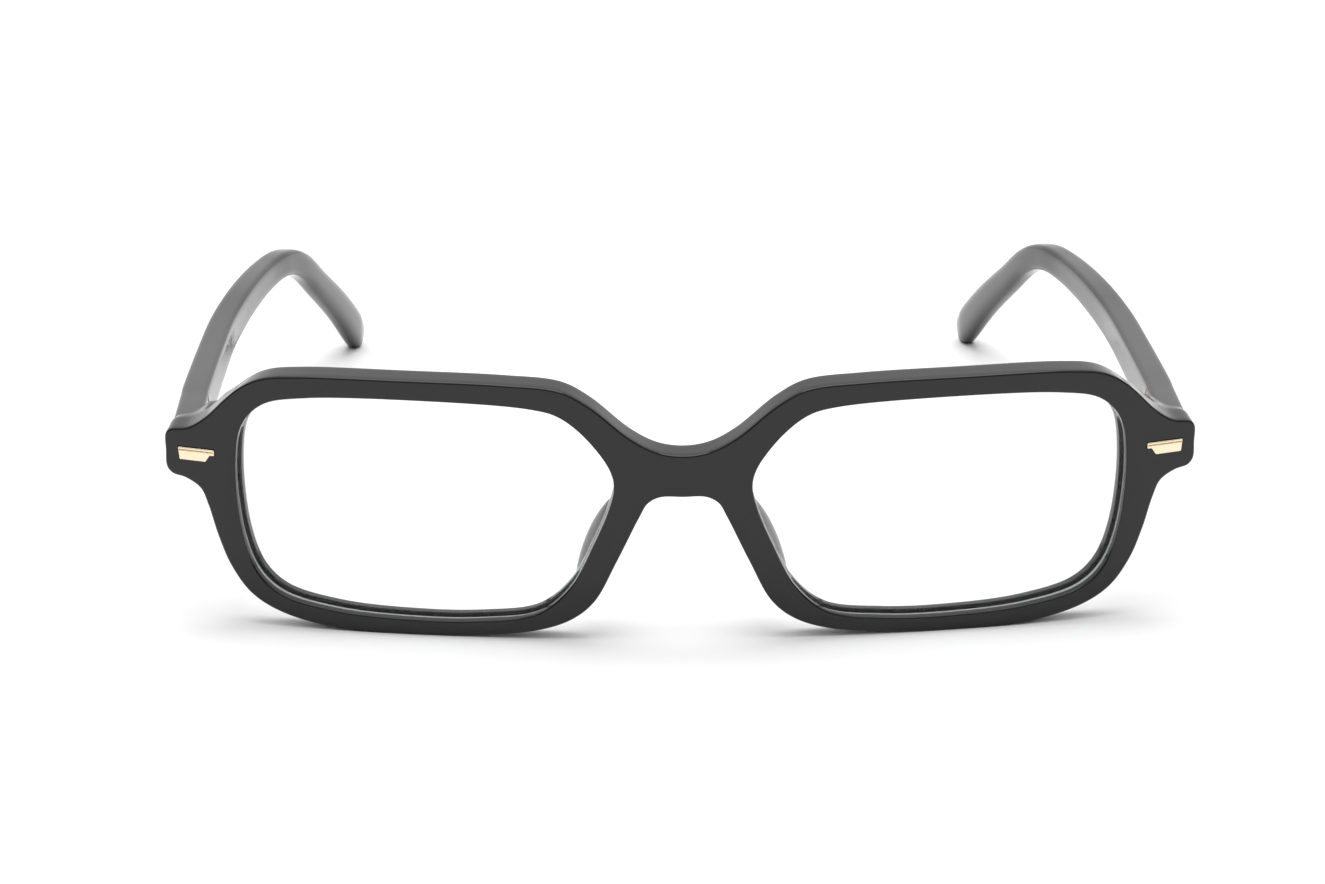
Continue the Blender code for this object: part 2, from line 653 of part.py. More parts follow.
def make_screw(name, side):
    """Slotted hinge screw: a shank through the knuckles and a head on top."""
    bottom, top = leaf_levels()
    end = bottom - KNUCKLE_GAP
    head_bottom = top + KNUCKLE_GAP
    head_top = head_bottom + SCREW_HEAD_HEIGHT
    bevel = SCREW_HEAD_HEIGHT * 0.4
    profile = [(0.0, head_top), (SCREW_HEAD_RADIUS - bevel, head_top),
               (SCREW_HEAD_RADIUS, head_top - bevel), (SCREW_HEAD_RADIUS, head_bottom),
               (SCREW_RADIUS, head_bottom), (SCREW_RADIUS, end), (0.0, end)]
    bm = bmesh.new()
    verts = [bm.verts.new((radius, 0.0, height)) for radius, height in profile]
    for low, high in zip(verts, verts[1:]):
        bm.edges.new((low, high))
    mesh = bpy.data.meshes.new(name)
    bm.to_mesh(mesh)
    bm.free()
    screw = add_piece(name, mesh, "gold")
    screw.location = (*hinge_centre(side), 0.0)
    turn = screw.modifiers.new("turn", "SCREW")
    turn.steps = ROUND_SIDES
    turn.render_steps = ROUND_SIDES
    turn.use_merge_vertices = True
    turn.merge_threshold = 0.001 * MM
    slot = box_mesh(f"{name}_slot", *box_between(-PAST, PAST, -SLOT_WIDTH / 2, SLOT_WIDTH / 2,
                                                 head_top - SLOT_DEPTH, head_top + PAST))
    cutter = add_cutter(f"{name}_slot", slot)
    cutter.location = screw.location
    combine(screw, cutter, "DIFFERENCE")
    return screw


# --- temples -------------------------------------------------------------------------------

def temple_rows():
    """Stations of the temple made close together: centre, width and height, and direction."""
    share, inset, rise, width, height = np.array(TEMPLE_STATIONS).T
    stations = np.stack([OUTER_X - (inset + width / 2) * MM, MITRE_Y + share * TEMPLE_LENGTH,
                         rise * TEMPLE_Z, width * MM, height * MM], axis=1)
    ends = np.vstack([2 * stations[0] - stations[1], stations, 2 * stations[-1] - stations[-2]])
    rows = []
    for k in range(len(stations) - 1):
        p0, p1, p2, p3 = ends[k:k + 4]
        for t in np.linspace(0.0, 1.0, TEMPLE_RINGS_PER_STATION, endpoint=False):
            rows.append(0.5 * (2 * p1 + (p2 - p0) * t + (2 * p0 - 5 * p1 + 4 * p2 - p3) * t ** 2
                               + (3 * p1 - p0 - 3 * p2 + p3) * t ** 3))
    rows = np.array(rows + [stations[-1]])
    along = np.gradient(rows[:, :3], axis=0)
    along /= np.linalg.norm(along, axis=1)[:, None]
    return rows, along


def section_ring(centre, along, width, height, corner, side):
    """Rounded rectangle square to the temple's run: width across, height in its upright plane."""
    across = np.array([along[1], -along[0], 0.0])
    across /= np.linalg.norm(across)
    up = np.cross(across, along)
    corner = min(corner, width * 0.45, height * 0.45)
    points = []
    for quarter, (a, b) in enumerate(((1, 1), (-1, 1), (-1, -1), (1, -1))):
        for step in (0.0, 0.5, 1.0):
            turn = (quarter + step) * math.pi / 2
            x = a * (width / 2 - corner) + corner * math.cos(turn)
            z = b * (height / 2 - corner) + corner * math.sin(turn)
            points.append(centre + across * x + up * z)
    return np.array(points) * np.array([side, 1.0, 1.0])


def temple_rings(side):
    """Rings of the temple, with the first one laid on the mitre plane."""
    rows, along = temple_rows()
    rings = [section_ring(row[:3], direction, row[3], row[4], CORNER_RADIUS, side)
             for row, direction in zip(rows, along)]
    rings[0][:, 1] = mitre_y(rings[0][:, 0], MITRE_GAP)
    return rings


def core_rings(side, first, clearance=0.0):
    """Rings of the core wire, or of the channel that clears it all round."""
    rows, along = temple_rows()
    offset = np.array([CORE_SIDE_OFFSET, 0.0, 0.0])
    width = CORE_WIDTH + 2 * clearance
    height = CORE_HEIGHT + 2 * clearance
    return [section_ring(row[:3] + offset, direction, width, height, CORE_CORNER, side)
            for row, direction in list(zip(rows, along))[first:CORE_RINGS]]


def make_temple(name, side):
    """Acetate temple: mitred front end, ear bend and flared tip, hollowed for core and leaf."""
    temple = add_piece(f"temple_{name}", loft(f"temple_{name}", temple_rings(side)), "acetate")
    channel = core_rings(side, 0, CORE_CLEARANCE)
    channel[0][:, 1] -= PAST
    run_out = channel[-1].mean(axis=0) - channel[-2].mean(axis=0)
    channel[-1] += run_out / np.linalg.norm(run_out) * CORE_CLEARANCE
    combine(temple, add_cutter(f"channel_{name}", loft(f"channel_{name}", channel)), "DIFFERENCE")
    leaf_room = box_mesh(f"leaf_room_{name}", *temple_leaf_box(side, LEAF_CLEARANCE))
    combine(temple, add_cutter(f"leaf_room_{name}", leaf_room), "DIFFERENCE")
    bottom, top = leaf_levels()
    relief = relief_cylinder(f"temple_relief_{name}", side, bottom - PAST, top + PAST)
    combine(temple, relief, "DIFFERENCE")
    return temple


def make_core(name, side):
    """Core wire inside the temple, from behind the mitre to the ear bend."""
    rings = core_rings(side, CORE_FIRST_RING)
    return add_piece(f"temple_core_{name}", loft(f"temple_core_{name}", rings), "nickel_silver")


# --- assembly ------------------------------------------------------------------------------

def make_table(outline):
    """Cutter whose top is the table: it gives the rims and the tips small flats to stand on."""
    low = bend_sheet(outline[:, 0], outline[:, 1], 0.0)[:, 2].min() + REST_CUT
    corner = 2 * TEMPLE_LENGTH
    mesh = box_mesh("table", (-corner, -corner, low - PAST), (corner, corner, low))
    return add_cutter("table", mesh)


def hold(name, place, things):
    """Parent things to an empty at a place, and leave them where they are."""
    holder = bpy.data.objects.new(name, None)
    holder.location = place
    PIECES.objects.link(holder)
    for thing in things:
        thing.parent = holder
        thing.location = thing.location - holder.location
    return holder


def stand_on_table(pieces):
    """Shift that puts the origin on the table under the middle of the frame's footprint."""
    graph = bpy.context.evaluated_depsgraph_get()
    corners = []
    for piece in pieces:
        mesh = piece.evaluated_get(graph).to_mesh()
        co = np.array([piece.matrix_world @ vert.co for vert in mesh.vertices])
        corners += [co.min(axis=0), co.max(axis=0)]
    low, high = np.min(corners, axis=0), np.max(corners, axis=0)
    return Vector((0.0, -(low[1] + high[1]) / 2, -low[2]))


def make_side(name, side, front, opening):
    """Everything on one side of the frame: what stays with the front, and what turns."""
    lens = make_lens(name, side, opening)
    pad = make_nose_pad(name, side)
    plaque = make_plaque(name, side, front)
    pocket = box_mesh(f"leaf_pocket_{name}", *front_leaf_box(side, LEAF_CLEARANCE))
    combine(front, add_cutter(f"leaf_pocket_{name}", pocket), "DIFFERENCE")
    bottom, top = leaf_levels()
    relief = relief_cylinder(f"lug_relief_{name}", side, bottom - PAST, top + PAST)
    combine(front, relief, "DIFFERENCE")
    even = range(0, KNUCKLE_COUNT, 2)
    odd = range(1, KNUCKLE_COUNT, 2)
    fixed = make_hinge_half(f"front_hinge_{name}", side, front_leaf_box(side), even, odd)
    turning = make_hinge_half(f"temple_hinge_{name}", side, temple_leaf_box(side), odd, even)
    screw = make_screw(f"hinge_screw_{name}", side)
    temple = make_temple(name, side)
    core = make_core(name, side)
    axis = hold(f"temple_axis_{name}", (*hinge_centre(side), 0.0), [turning, temple, core])
    return [lens, pad, plaque, fixed, screw, axis], temple


def main():
    outline = front_outline()
    opening = opening_outline()
    front = make_front(outline, opening)
    table = make_table(outline)
    combine(front, table, "DIFFERENCE")
    fixed = [front]
    for name, side in SIDES:
        things, temple = make_side(name, side, front, opening)
        combine(temple, table, "DIFFERENCE")
        fixed += things
    bpy.context.view_layer.update()
    shift = stand_on_table([thing for thing in PIECES.objects if thing.type == "MESH"])
    frame = hold("frame_origin", (0.0, 0.0, 0.0), fixed + list(CUTTERS.objects))
    frame.location = shift
    print("shift", tuple(round(v * 1000, 3) for v in shift))


clear_scene()
PIECES = make_collection("eyeglasses_frame")
CUTTERS = make_collection("cutters")
main()
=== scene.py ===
"""Acetate spectacle frame: fine surfaces, finishes, and a plain studio stage.

The frame stands on the floor with both temples open. X runs across the face, +Y runs back along
the temples and +Z is up. The front is designed as a flat sheet, in sheet coordinates (u, v, w): u
across, v up and w the depth behind its front face. bend_sheet() curves it to the face.
"""
import json
import math

import bmesh
import bpy
import numpy as np
from bpy.props import FloatProperty, FloatVectorProperty, PointerProperty
from mathutils import Matrix, Vector
from mathutils.geometry import delaunay_2d_cdt

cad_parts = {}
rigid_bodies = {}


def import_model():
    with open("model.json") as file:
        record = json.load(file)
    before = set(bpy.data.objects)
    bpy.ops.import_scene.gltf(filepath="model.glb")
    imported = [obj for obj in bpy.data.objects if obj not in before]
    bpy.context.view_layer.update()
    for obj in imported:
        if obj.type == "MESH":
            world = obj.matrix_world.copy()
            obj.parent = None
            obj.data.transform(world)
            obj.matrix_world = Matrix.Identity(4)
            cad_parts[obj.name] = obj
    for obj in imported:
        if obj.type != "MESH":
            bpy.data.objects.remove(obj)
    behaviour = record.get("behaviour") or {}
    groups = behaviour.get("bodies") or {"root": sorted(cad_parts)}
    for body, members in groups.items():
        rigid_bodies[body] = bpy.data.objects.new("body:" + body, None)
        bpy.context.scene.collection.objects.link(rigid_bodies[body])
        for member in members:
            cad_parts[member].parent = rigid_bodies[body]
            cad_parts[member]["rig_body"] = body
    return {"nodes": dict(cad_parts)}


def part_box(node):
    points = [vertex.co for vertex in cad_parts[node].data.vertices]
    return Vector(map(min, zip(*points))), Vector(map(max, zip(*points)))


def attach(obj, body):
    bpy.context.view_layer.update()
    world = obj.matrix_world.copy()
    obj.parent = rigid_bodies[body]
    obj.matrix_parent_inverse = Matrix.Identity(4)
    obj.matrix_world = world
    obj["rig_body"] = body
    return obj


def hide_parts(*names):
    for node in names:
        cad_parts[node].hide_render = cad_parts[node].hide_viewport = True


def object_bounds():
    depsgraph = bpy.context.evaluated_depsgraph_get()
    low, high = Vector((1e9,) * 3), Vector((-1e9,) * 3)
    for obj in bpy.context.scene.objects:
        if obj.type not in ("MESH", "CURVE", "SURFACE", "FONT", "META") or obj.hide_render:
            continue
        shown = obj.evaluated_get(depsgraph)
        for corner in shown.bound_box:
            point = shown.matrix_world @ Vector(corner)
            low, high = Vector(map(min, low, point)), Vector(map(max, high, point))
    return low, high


bl_info = {
    "name": "Acetate spectacle frame",
    "version": (1, 0, 0),
    "blender": (4, 5, 0),
    "location": "3D View > Sidebar > Spectacles",
    "description": "Builds a folding acetate spectacle frame with its finishes and a studio stage",
    "category": "Add Mesh",
}

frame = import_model()
CAD_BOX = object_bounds()

MM = 0.001
SIDES = (("left", 1), ("right", -1))

# Half of the outer outline, from the top of the bridge round to its underside, in shares of the
# front's half width and height.
OUTER_HALF = (
    (0.000, 0.738), (0.050, 0.753), (0.100, 0.804), (0.178, 0.927), (0.233, 0.982),
    (0.340, 1.000), (0.534, 1.000), (0.735, 0.986), (0.807, 0.963), (0.854, 0.911),
    (0.918, 0.791), (0.953, 0.747), (0.989, 0.732), (0.999, 0.712), (1.000, 0.649),
    (0.999, 0.584), (0.989, 0.560), (0.960, 0.546), (0.932, 0.513), (0.918, 0.453),
    (0.900, 0.335), (0.875, 0.215), (0.836, 0.115), (0.774, 0.050), (0.645, 0.004),
    (0.527, 0.005), (0.402, 0.018), (0.284, 0.042), (0.214, 0.089), (0.169, 0.162),
    (0.125, 0.325), (0.082, 0.500), (0.067, 0.551), (0.044, 0.576),
)
UNDERSIDE_RISE = 0.05 * MM
# Lens opening on the +X side, in the same shares.
OPENING = (
    (0.131, 0.610), (0.139, 0.681), (0.186, 0.806), (0.236, 0.882), (0.287, 0.908),
    (0.483, 0.924), (0.721, 0.903), (0.802, 0.864), (0.845, 0.775), (0.860, 0.615),
    (0.849, 0.340), (0.821, 0.199), (0.777, 0.126), (0.673, 0.081), (0.527, 0.068),
    (0.388, 0.077), (0.277, 0.113), (0.215, 0.217), (0.171, 0.382), (0.141, 0.524),
)
OUTLINE_SAMPLES = 12
FILL_SPACING = 1.3 * MM
EDGE_STEPS = 7
WALL_SHARES = (0.35, 0.6, 0.8)
SHARP_ANGLE = 35.0
WELD = 0.5e-6

# End pieces: distances in from the front's ends, and the mitre where the temples meet them.
FACE_RADIUS = 226.0 * MM
LEAN = math.radians(6.0)
END_SHARE = 0.652
LUG_HEIGHT = 8.6 * MM
LUG_INNER = 8.1 * MM
LUG_CREST = 6.3 * MM
LUG_STRAIGHT = 9.9 * MM
LUG_SHOULDER = 1.2 * MM
LUG_BLEND = 0.3 * MM
LUG_TOE_IN = 0.115
LUG_DEPTH = 0.94 * MM
LEAN_OFFSET = 2.5 * MM
END_ROUNDING = 0.68 * MM
MITRE_ANGLE = math.radians(14.0)
MITRE_GAP = 0.08 * MM
MITRE_EDGE = 0.12 * MM

LENS_DEPTH = 1.9 * MM
GROOVE_DEPTH = 0.55 * MM
GROOVE_HALF = 0.9 * MM
LENS_RINGS = 24
ACRYLIC_IOR = 1.49
LENS_BEVEL = 0.44 * MM

PAD_TOP = (0.110, 0.534)
PAD_FOOT = (0.197, 0.157)
PAD_SINK = 0.3 * MM
PAD_ROWS, PAD_COLUMNS = 41, 48
# Powers of the pads' swell and ridge, and the shares that they take off the width.
PAD_SWELL, PAD_RIDGE, PAD_ENDS = 0.4, 0.75, 0.3
PAD_NARROWEST, PAD_PINCH = 0.35, 0.22

# Plaques: a bar with a narrow neck at its inner end, and a groove under its top lip.
PLAQUE_INSET = 1.9 * MM
PLAQUE_LENGTH = 5.3 * MM
PLAQUE_RISE = 0.7 * MM
PLAQUE_HEIGHT = 1.85 * MM
PLAQUE_NECK = 0.85 * MM
PLAQUE_STEP = 1.3 * MM
PLAQUE_CORNER = 0.15 * MM
PLAQUE_PROUD = 0.25 * MM
PLAQUE_SUNK = 0.25 * MM
PLAQUE_CLEARANCE = 0.09 * MM
PLAQUE_EDGE = 0.12 * MM
PLAQUE_LIP = 0.42 * MM
PLAQUE_LINE = 0.15 * MM
PLAQUE_LINE_DEPTH = 0.20 * MM
PLAQUE_SPACING = 0.05 * MM
PLAQUE_MARGIN = 0.02 * MM

# Temples: stations along the temple on the +X side. Each has its share of the temple's length,
# its outer face's distance inside the front's end in millimetres, its middle's height as a share
# of the temple's height at the mitre, and its width and height in millimetres.
TEMPLE_RISE = 1.0 * MM
TEMPLE_STATIONS = (
    (0.000, 0.00, 1.000, 4.1, 6.2), (0.044, 0.00, 1.000, 4.1, 6.1),
    (0.090, 0.00, 1.000, 4.1, 5.95), (0.135, 0.00, 1.002, 4.1, 5.8),
    (0.272, 0.55, 1.008, 4.0, 5.3), (0.393, 1.35, 1.019, 3.9, 4.9),
    (0.507, 3.10, 1.035, 3.8, 4.6), (0.613, 5.35, 1.031, 3.7, 4.3),
    (0.689, 7.80, 1.008, 3.6, 4.2), (0.753, 10.05, 0.900, 3.5, 4.3),
    (0.825, 12.30, 0.680, 3.4, 4.7), (0.905, 14.75, 0.430, 3.3, 5.3),
    (0.973, 16.70, 0.193, 3.2, 5.9), (1.000, 17.40, 0.097, 2.9, 5.5),
)
RINGS_PER_STATION = 14
SECTION_POINTS = 72
SQUARE_FRONT = 7.0
SQUARE_TIP = 2.8
TIP_STEPS = 8
TIP_DOME = 0.35 * MM
# Where along the temple its section starts to grow rounder, and over what share of its length.
ROUND_FROM, ROUND_OVER = 0.35, 0.5
CORNER_CROWDING = 0.16
LEAF_CLEARANCE = 0.08 * MM
KNUCKLE_RADIUS = 1.3 * MM
KNUCKLE_RELIEF = 0.2 * MM
PAST = 5.0 * MM

HARDWARE = ("front_hinge", "temple_hinge", "hinge_screw")
HARDWARE_BEVEL = 0.06 * MM
RELIEF_SIDES = 96

PAPER_DROP = 0.02 * MM
PAPER_POINTS = 25
# Light from a direction is dim where both of these axes are below their starts, and full where
# either is past its end: axis, start and end.
DIM_BANDS = ((2, 0.25, 0.75), (1, -0.25, 0.6))


# --- colours and materials -----------------------------------------------------------------

def linear(text):
    """An sRGB hex colour such as "#B08040" as linear red, green, blue and alpha."""
    parts = np.array([int(text[i:i + 2], 16) for i in (1, 3, 5)]) / 255.0
    low = parts / 12.92
    high = ((parts + 0.055) / 1.055) ** 2.4
    return (*np.where(parts <= 0.04045, low, high), 1.0)


def add_node(material, kind, values, links):
    """Add a node to a material, give it its sockets' values and settings, and link into it."""
    tree = material.node_tree
    node = tree.nodes.new(kind)
    for key, value in values.items():
        if isinstance(key, int) or key in node.inputs:
            node.inputs[key].default_value = value
        else:
            setattr(node, key, value)
    for key, source in links.items():
        tree.links.new(source, node.inputs[key])
    return node


def new_material(name, values):
    """A material whose Principled shader has its constant values set on its own sockets."""
    material = bpy.data.materials.new(name)
    material.use_nodes = True
    for key, value in values.items():
        material.node_tree.nodes["Principled BSDF"].inputs[key].default_value = value
    return material


def object_noise(material, size, detail, stretch=(1.0, 1.0, 1.0)):
    """Noise in object coordinates, with patches of about the given size in metres."""
    place = add_node(material, "ShaderNodeTexCoord", {}, {}).outputs["Object"]
    mapping = add_node(material, "ShaderNodeMapping", {"Scale": stretch}, {"Vector": place})
    noise = add_node(material, "ShaderNodeTexNoise", {"Scale": 1.0 / size, "Detail": detail},
                     {"Vector": mapping.outputs["Vector"]})
    return noise.outputs["Fac"]


def dress(material, gloss, tones=None, relief=()):
    """Let a material's roughness, colour and bumps follow noise patterns, and return it.

    gloss is a pattern, mostly 0.3 to 0.7, and the roughness at each end of it. tones is a pattern
    and the two colours that it mixes. relief is patterns, each with its strength and height, laid
    over each other.
    """
    shader = material.node_tree.nodes["Principled BSDF"]
    link = material.node_tree.links.new
    source, low, high = gloss
    spread = add_node(material, "ShaderNodeMapRange",
                      {"From Min": 0.3, "From Max": 0.7, "To Min": low, "To Max": high},
                      {"Value": source})
    link(spread.outputs["Result"], shader.inputs["Roughness"])
    if tones is not None:
        source, first, second = tones
        mix = add_node(material, "ShaderNodeMix", {"data_type": "RGBA"}, {0: source})
        mix.inputs[6].default_value = first
        mix.inputs[7].default_value = second
        link(mix.outputs[2], shader.inputs["Base Color"])
    under = {}
    for source, strength, height in relief:
        bump = add_node(material, "ShaderNodeBump", {"Strength": strength, "Distance": height},
                        {"Height": source, **under})
        under = {"Normal": bump.outputs["Normal"]}
    if under:
        link(under["Normal"], shader.inputs["Normal"])
    return material


def shaded(colour, share):
    """A colour made darker or lighter by a share, up to full white."""
    return tuple(min(1.0, share * part) for part in colour[:3]) + (1.0,)


def polished_acetate(finish):
    """Black cellulose acetate, tumbled and buffed by hand.

    It gives a deep near-black gloss that mirrors the room softly: the buffing leaves the faces
    faintly wavy, with hairline wheel marks and slightly duller patches.
    """
    material = new_material("black_cellulose_acetate_buffed", {"IOR": 1.46})
    cloud = object_noise(material, 4.0 * MM, 3.0)
    haze = object_noise(material, 1.2 * MM, 4.0)
    marks = object_noise(material, 0.25 * MM, 2.0, (0.12, 1.0, 1.0))
    wave = object_noise(material, 9.0 * MM, 1.0)
    dark = tuple(finish.acetate_colour)
    return dress(material, (haze, 0.07, 0.15), (cloud, dark, shaded(dark, 1.9)),
                 [(wave, 0.35, 0.02 * MM), (marks, 0.10, 0.002 * MM)])


def clear_lens(finish):
    """Demo lens of clear acrylic sheet, cut and edged.

    It is all but invisible face on. A Fresnel alpha lets its white base colour show towards its
    rim: a painted reflection, a pale veil over its own gloss.
    """
    material = new_material("clear_acrylic_demo_lens", {
        "Base Color": tuple(finish.lens_reflection_colour), "IOR": ACRYLIC_IOR})
    material.surface_render_method = "BLENDED"
    smear = object_noise(material, 6.0 * MM, 2.0)
    # Painted reflection: the alpha follows a Fresnel factor, so the white base colour shows as a pale
    # veil at grazing angles.
    fresnel = add_node(material, "ShaderNodeFresnel", {"IOR": ACRYLIC_IOR}, {})
    veil = add_node(material, "ShaderNodeMath",
                    {"operation": "MULTIPLY_ADD", 1: 0.55, 2: 0.0, "use_clamp": True},
                    {0: fresnel.outputs["Fac"]})
    alpha = material.node_tree.nodes["Principled BSDF"].inputs["Alpha"]
    material.node_tree.links.new(veil.outputs["Value"], alpha)
    return dress(material, (smear, 0.02, 0.07), relief=[(smear, 0.1, 0.005 * MM)])


def plated_gold(finish):
    """Pale gold plate on stamped brass, lightly satin from its brushing.

    Long fine brush lines run along the plaque and catch a soft warm glow.
    """
    material = new_material("pale_gold_plate_brushed", {"Metallic": 1.0})
    tone = object_noise(material, 0.8 * MM, 3.0)
    lines = object_noise(material, 0.12 * MM, 2.0, (0.08, 1.0, 1.0))
    pale = tuple(finish.gold_colour)
    warm = (pale[0] * 0.94, pale[1] * 0.88, pale[2] * 0.74, 1.0)
    return dress(material, (lines, 0.16, 0.34), (tone, warm, pale), [(lines, 0.25, 0.004 * MM)])


def turned_gold(finish):
    """Gold-toned brass of hinges and screws, turned and barrelled.

    Fine rings run round the barrels, with darker metal where the knuckles rub.
    """
    material = new_material("gold_toned_brass_turned", {"Metallic": 1.0})
    rub = object_noise(material, 0.5 * MM, 3.0)
    rings = object_noise(material, 0.10 * MM, 2.0, (0.15, 0.15, 1.0))
    bright = tuple(finish.hinge_colour)
    return dress(material, (rings, 0.2, 0.42), (rub, shaded(bright, 0.6), bright),
                 [(rings, 0.3, 0.004 * MM)])


def drawn_nickel_silver(finish):
    """Nickel silver core wire, drawn and shot into the temple: grey metal with long draw lines."""
    material = new_material("nickel_silver_drawn", {"Metallic": 1.0})
    lines = object_noise(material, 0.12 * MM, 2.0, (1.0, 0.06, 1.0))
    bright = tuple(finish.core_colour)
    return dress(material, (lines, 0.25, 0.45), (lines, shaded(bright, 0.7), bright),
                 [(lines, 0.3, 0.004 * MM)])


def floor_paper(finish):
    """White background paper: matt, with a faint fibre that is drawn 3 mm coarse to show at all."""
    material = new_material("white_background_paper", {"Specular IOR Level": 0.1})
    fibre = object_noise(material, 3.0 * MM, 3.0)
    white = tuple(finish.paper_colour)
    return dress(material, (fibre, 0.85, 0.95), (fibre, shaded(white, 0.99), white))


def finish_material(name, maker):
    """The material of that name, made by its function the first time that it is asked for."""
    kept = bpy.data.materials.get(bpy.context.scene.get(name, ""))
    if kept is None:
        kept = maker(bpy.context.scene.spectacle_finishes)
        bpy.context.scene[name] = kept.name
    return kept


# --- curves and meshes ---------------------------------------------------------------------

def closed_spline(points, samples=OUTLINE_SAMPLES):
    """Smooth closed curve through points: centripetal Catmull-Rom.

    Each span blends lines through its four nearest points, with knots spaced by the square root
    of the distance between points.
    """
    p = np.array(points, dtype=float)
    before, after, beyond = (np.roll(p, k, axis=0) for k in (1, -1, -2))
    t1 = np.linalg.norm(p - before, axis=1)[:, None, None] ** 0.5
    t2 = t1 + np.linalg.norm(after - p, axis=1)[:, None, None] ** 0.5
    t3 = t2 + np.linalg.norm(beyond - after, axis=1)[:, None, None] ** 0.5
    share = np.linspace(0.0, 1.0, samples, endpoint=False)[None, :, None]
    t = t1 + (t2 - t1) * share
    p0, p1, p2, p3 = (q[:, None, :] for q in (before, p, after, beyond))
    a1 = p0 * (t1 - t) / t1 + p1 * t / t1
    a2 = p1 * (t2 - t) / (t2 - t1) + p2 * (t - t1) / (t2 - t1)
    a3 = p2 * (t3 - t) / (t3 - t2) + p3 * (t - t2) / (t3 - t2)
    b1 = a1 * (t2 - t) / t2 + a2 * t / t2
    b2 = a2 * (t3 - t) / (t3 - t1) + a3 * (t - t1) / (t3 - t1)
    return (b1 * (t2 - t) / (t2 - t1) + b2 * (t - t1) / (t2 - t1)).reshape(-1, 2)


def grown(loop, distance):
    """A closed curve moved outwards by a distance, along its own normals."""
    along = np.roll(loop, -1, axis=0) - np.roll(loop, 1, axis=0)
    along /= np.linalg.norm(along, axis=1)[:, None]
    ahead = np.roll(loop, -1, axis=0)
    area = np.sum(loop[:, 0] * ahead[:, 1] - ahead[:, 0] * loop[:, 1])
    return loop + np.stack([along[:, 1], -along[:, 0]], axis=1) * distance * np.sign(area)


def quarter_turn():
    """Angles over a quarter circle, for a rounded edge."""
    return np.linspace(0.0, math.pi / 2, EDGE_STEPS)


def smooth_step(x):
    """0 below 0, 1 above 1, and the cubic 3x² - 2x³ between them."""
    x = np.clip(x, 0.0, 1.0)
    return x * x * (3.0 - 2.0 * x)


def inside(points, loop):
    """True for the points inside a closed loop: a ray to +u crosses it an odd number of times."""
    u, v = points[:, :1], points[:, 1:]
    ahead = np.roll(loop, -1, axis=0)
    level = (loop[:, 1] > v) != (ahead[:, 1] > v)
    rise = np.where(ahead[:, 1] == loop[:, 1], 1.0, ahead[:, 1] - loop[:, 1])
    crossing = loop[:, 0] + (v - loop[:, 1]) / rise * (ahead[:, 0] - loop[:, 0])
    return np.sum(level & (u < crossing), axis=1) % 2 == 1


def clear_of(points, loop, distance):
    """True for the points further than a distance from every point of a loop."""
    squares = (np.sum(points ** 2, axis=1)[:, None] + np.sum(loop ** 2, axis=1)
               - 2.0 * points @ loop.T)
    return squares.min(axis=1) > distance ** 2


def fill(loops, spacing, finer=()):
    """Triangles between an outline and its holes: a Delaunay net of the loops and a square grid.

    The finer areas (low u, high u, low v, high v, spacing) get a closer grid of their own.
    """
    outline, holes = loops[0], loops[1:]
    low, high = outline.min(axis=0), outline.max(axis=0)
    areas = [(low[0], high[0], low[1], high[1], spacing), *finer]
    grids = []
    for u0, u1, v0, v1, step in areas:
        us, vs = np.arange(u0 + step / 2, u1, step), np.arange(v0 + step / 2, v1, step)
        grid = np.stack(np.meshgrid(us, vs), axis=-1).reshape(-1, 2)
        keep = inside(grid, outline)
        for hole in holes:
            keep &= ~inside(grid, hole)
        for loop in loops:
            keep &= clear_of(grid, loop, 0.5 * step)
        for other in grids:
            if len(other):
                keep &= clear_of(grid, other, 0.5 * step)
        grids.append(grid[keep])
    points = np.vstack([*loops, *grids]) / MM
    edges, start = [], 0
    for loop in loops:
        index = np.arange(len(loop)) + start
        edges += np.stack([index, np.roll(index, -1)], axis=1).tolist()
        start += len(loop)
    found = delaunay_2d_cdt([Vector(p) for p in points], edges, [], 0, 1e-6)
    verts = np.array([tuple(p) for p in found[0]]) * MM
    # The net keeps the given points in place, so each is put back exactly where it was.
    for new, old in enumerate(found[3]):
        if old:
            verts[new] = points[old[0]] * MM
    faces = np.array(found[2])
    middle = verts[faces].mean(axis=1)
    keep = inside(middle, outline)
    for hole in holes:
        keep &= ~inside(middle, hole)
    return verts, faces[keep]


def grid_faces(rows, columns, closed=True):
    """Quads between neighbouring rows of a grid whose columns may close into rings."""
    last = columns if closed else columns - 1
    i, j = np.meshgrid(np.arange(rows - 1), np.arange(last), indexing="ij")
    ahead = (j + 1) % columns
    corners = (i * columns + j, i * columns + ahead, (i + 1) * columns + ahead,
               (i + 1) * columns + j)
    return np.stack(corners, axis=-1).reshape(-1, 4)


def surface(points, closed=True):
    """A grid of points, one ring or row after another, as its vertices and quads."""
    rows, columns = points.shape[:2]
    return points.reshape(-1, 3), grid_faces(rows, columns, closed)


def build_mesh(name, parts, sharp=SHARP_ANGLE, weld=WELD):
    """One closed mesh from several surfaces: seams and poles welded, faces turned outwards."""
    verts, faces, start = [], [], 0
    for points, quads in parts:
        verts.append(points)
        faces += (quads + start).tolist()
        start += len(points)
    mesh = bpy.data.meshes.new(name)
    mesh.from_pydata(np.vstack(verts).tolist(), [], faces)
    bm = bmesh.new()
    bm.from_mesh(mesh)
    bmesh.ops.remove_doubles(bm, verts=bm.verts, dist=weld)
    bmesh.ops.dissolve_degenerate(bm, edges=bm.edges, dist=weld)
    bmesh.ops.recalc_face_normals(bm, faces=bm.faces)
    bm.to_mesh(mesh)
    bm.free()
    mesh.shade_smooth()
    mesh.set_sharp_from_angle(angle=math.radians(sharp))
    return mesh


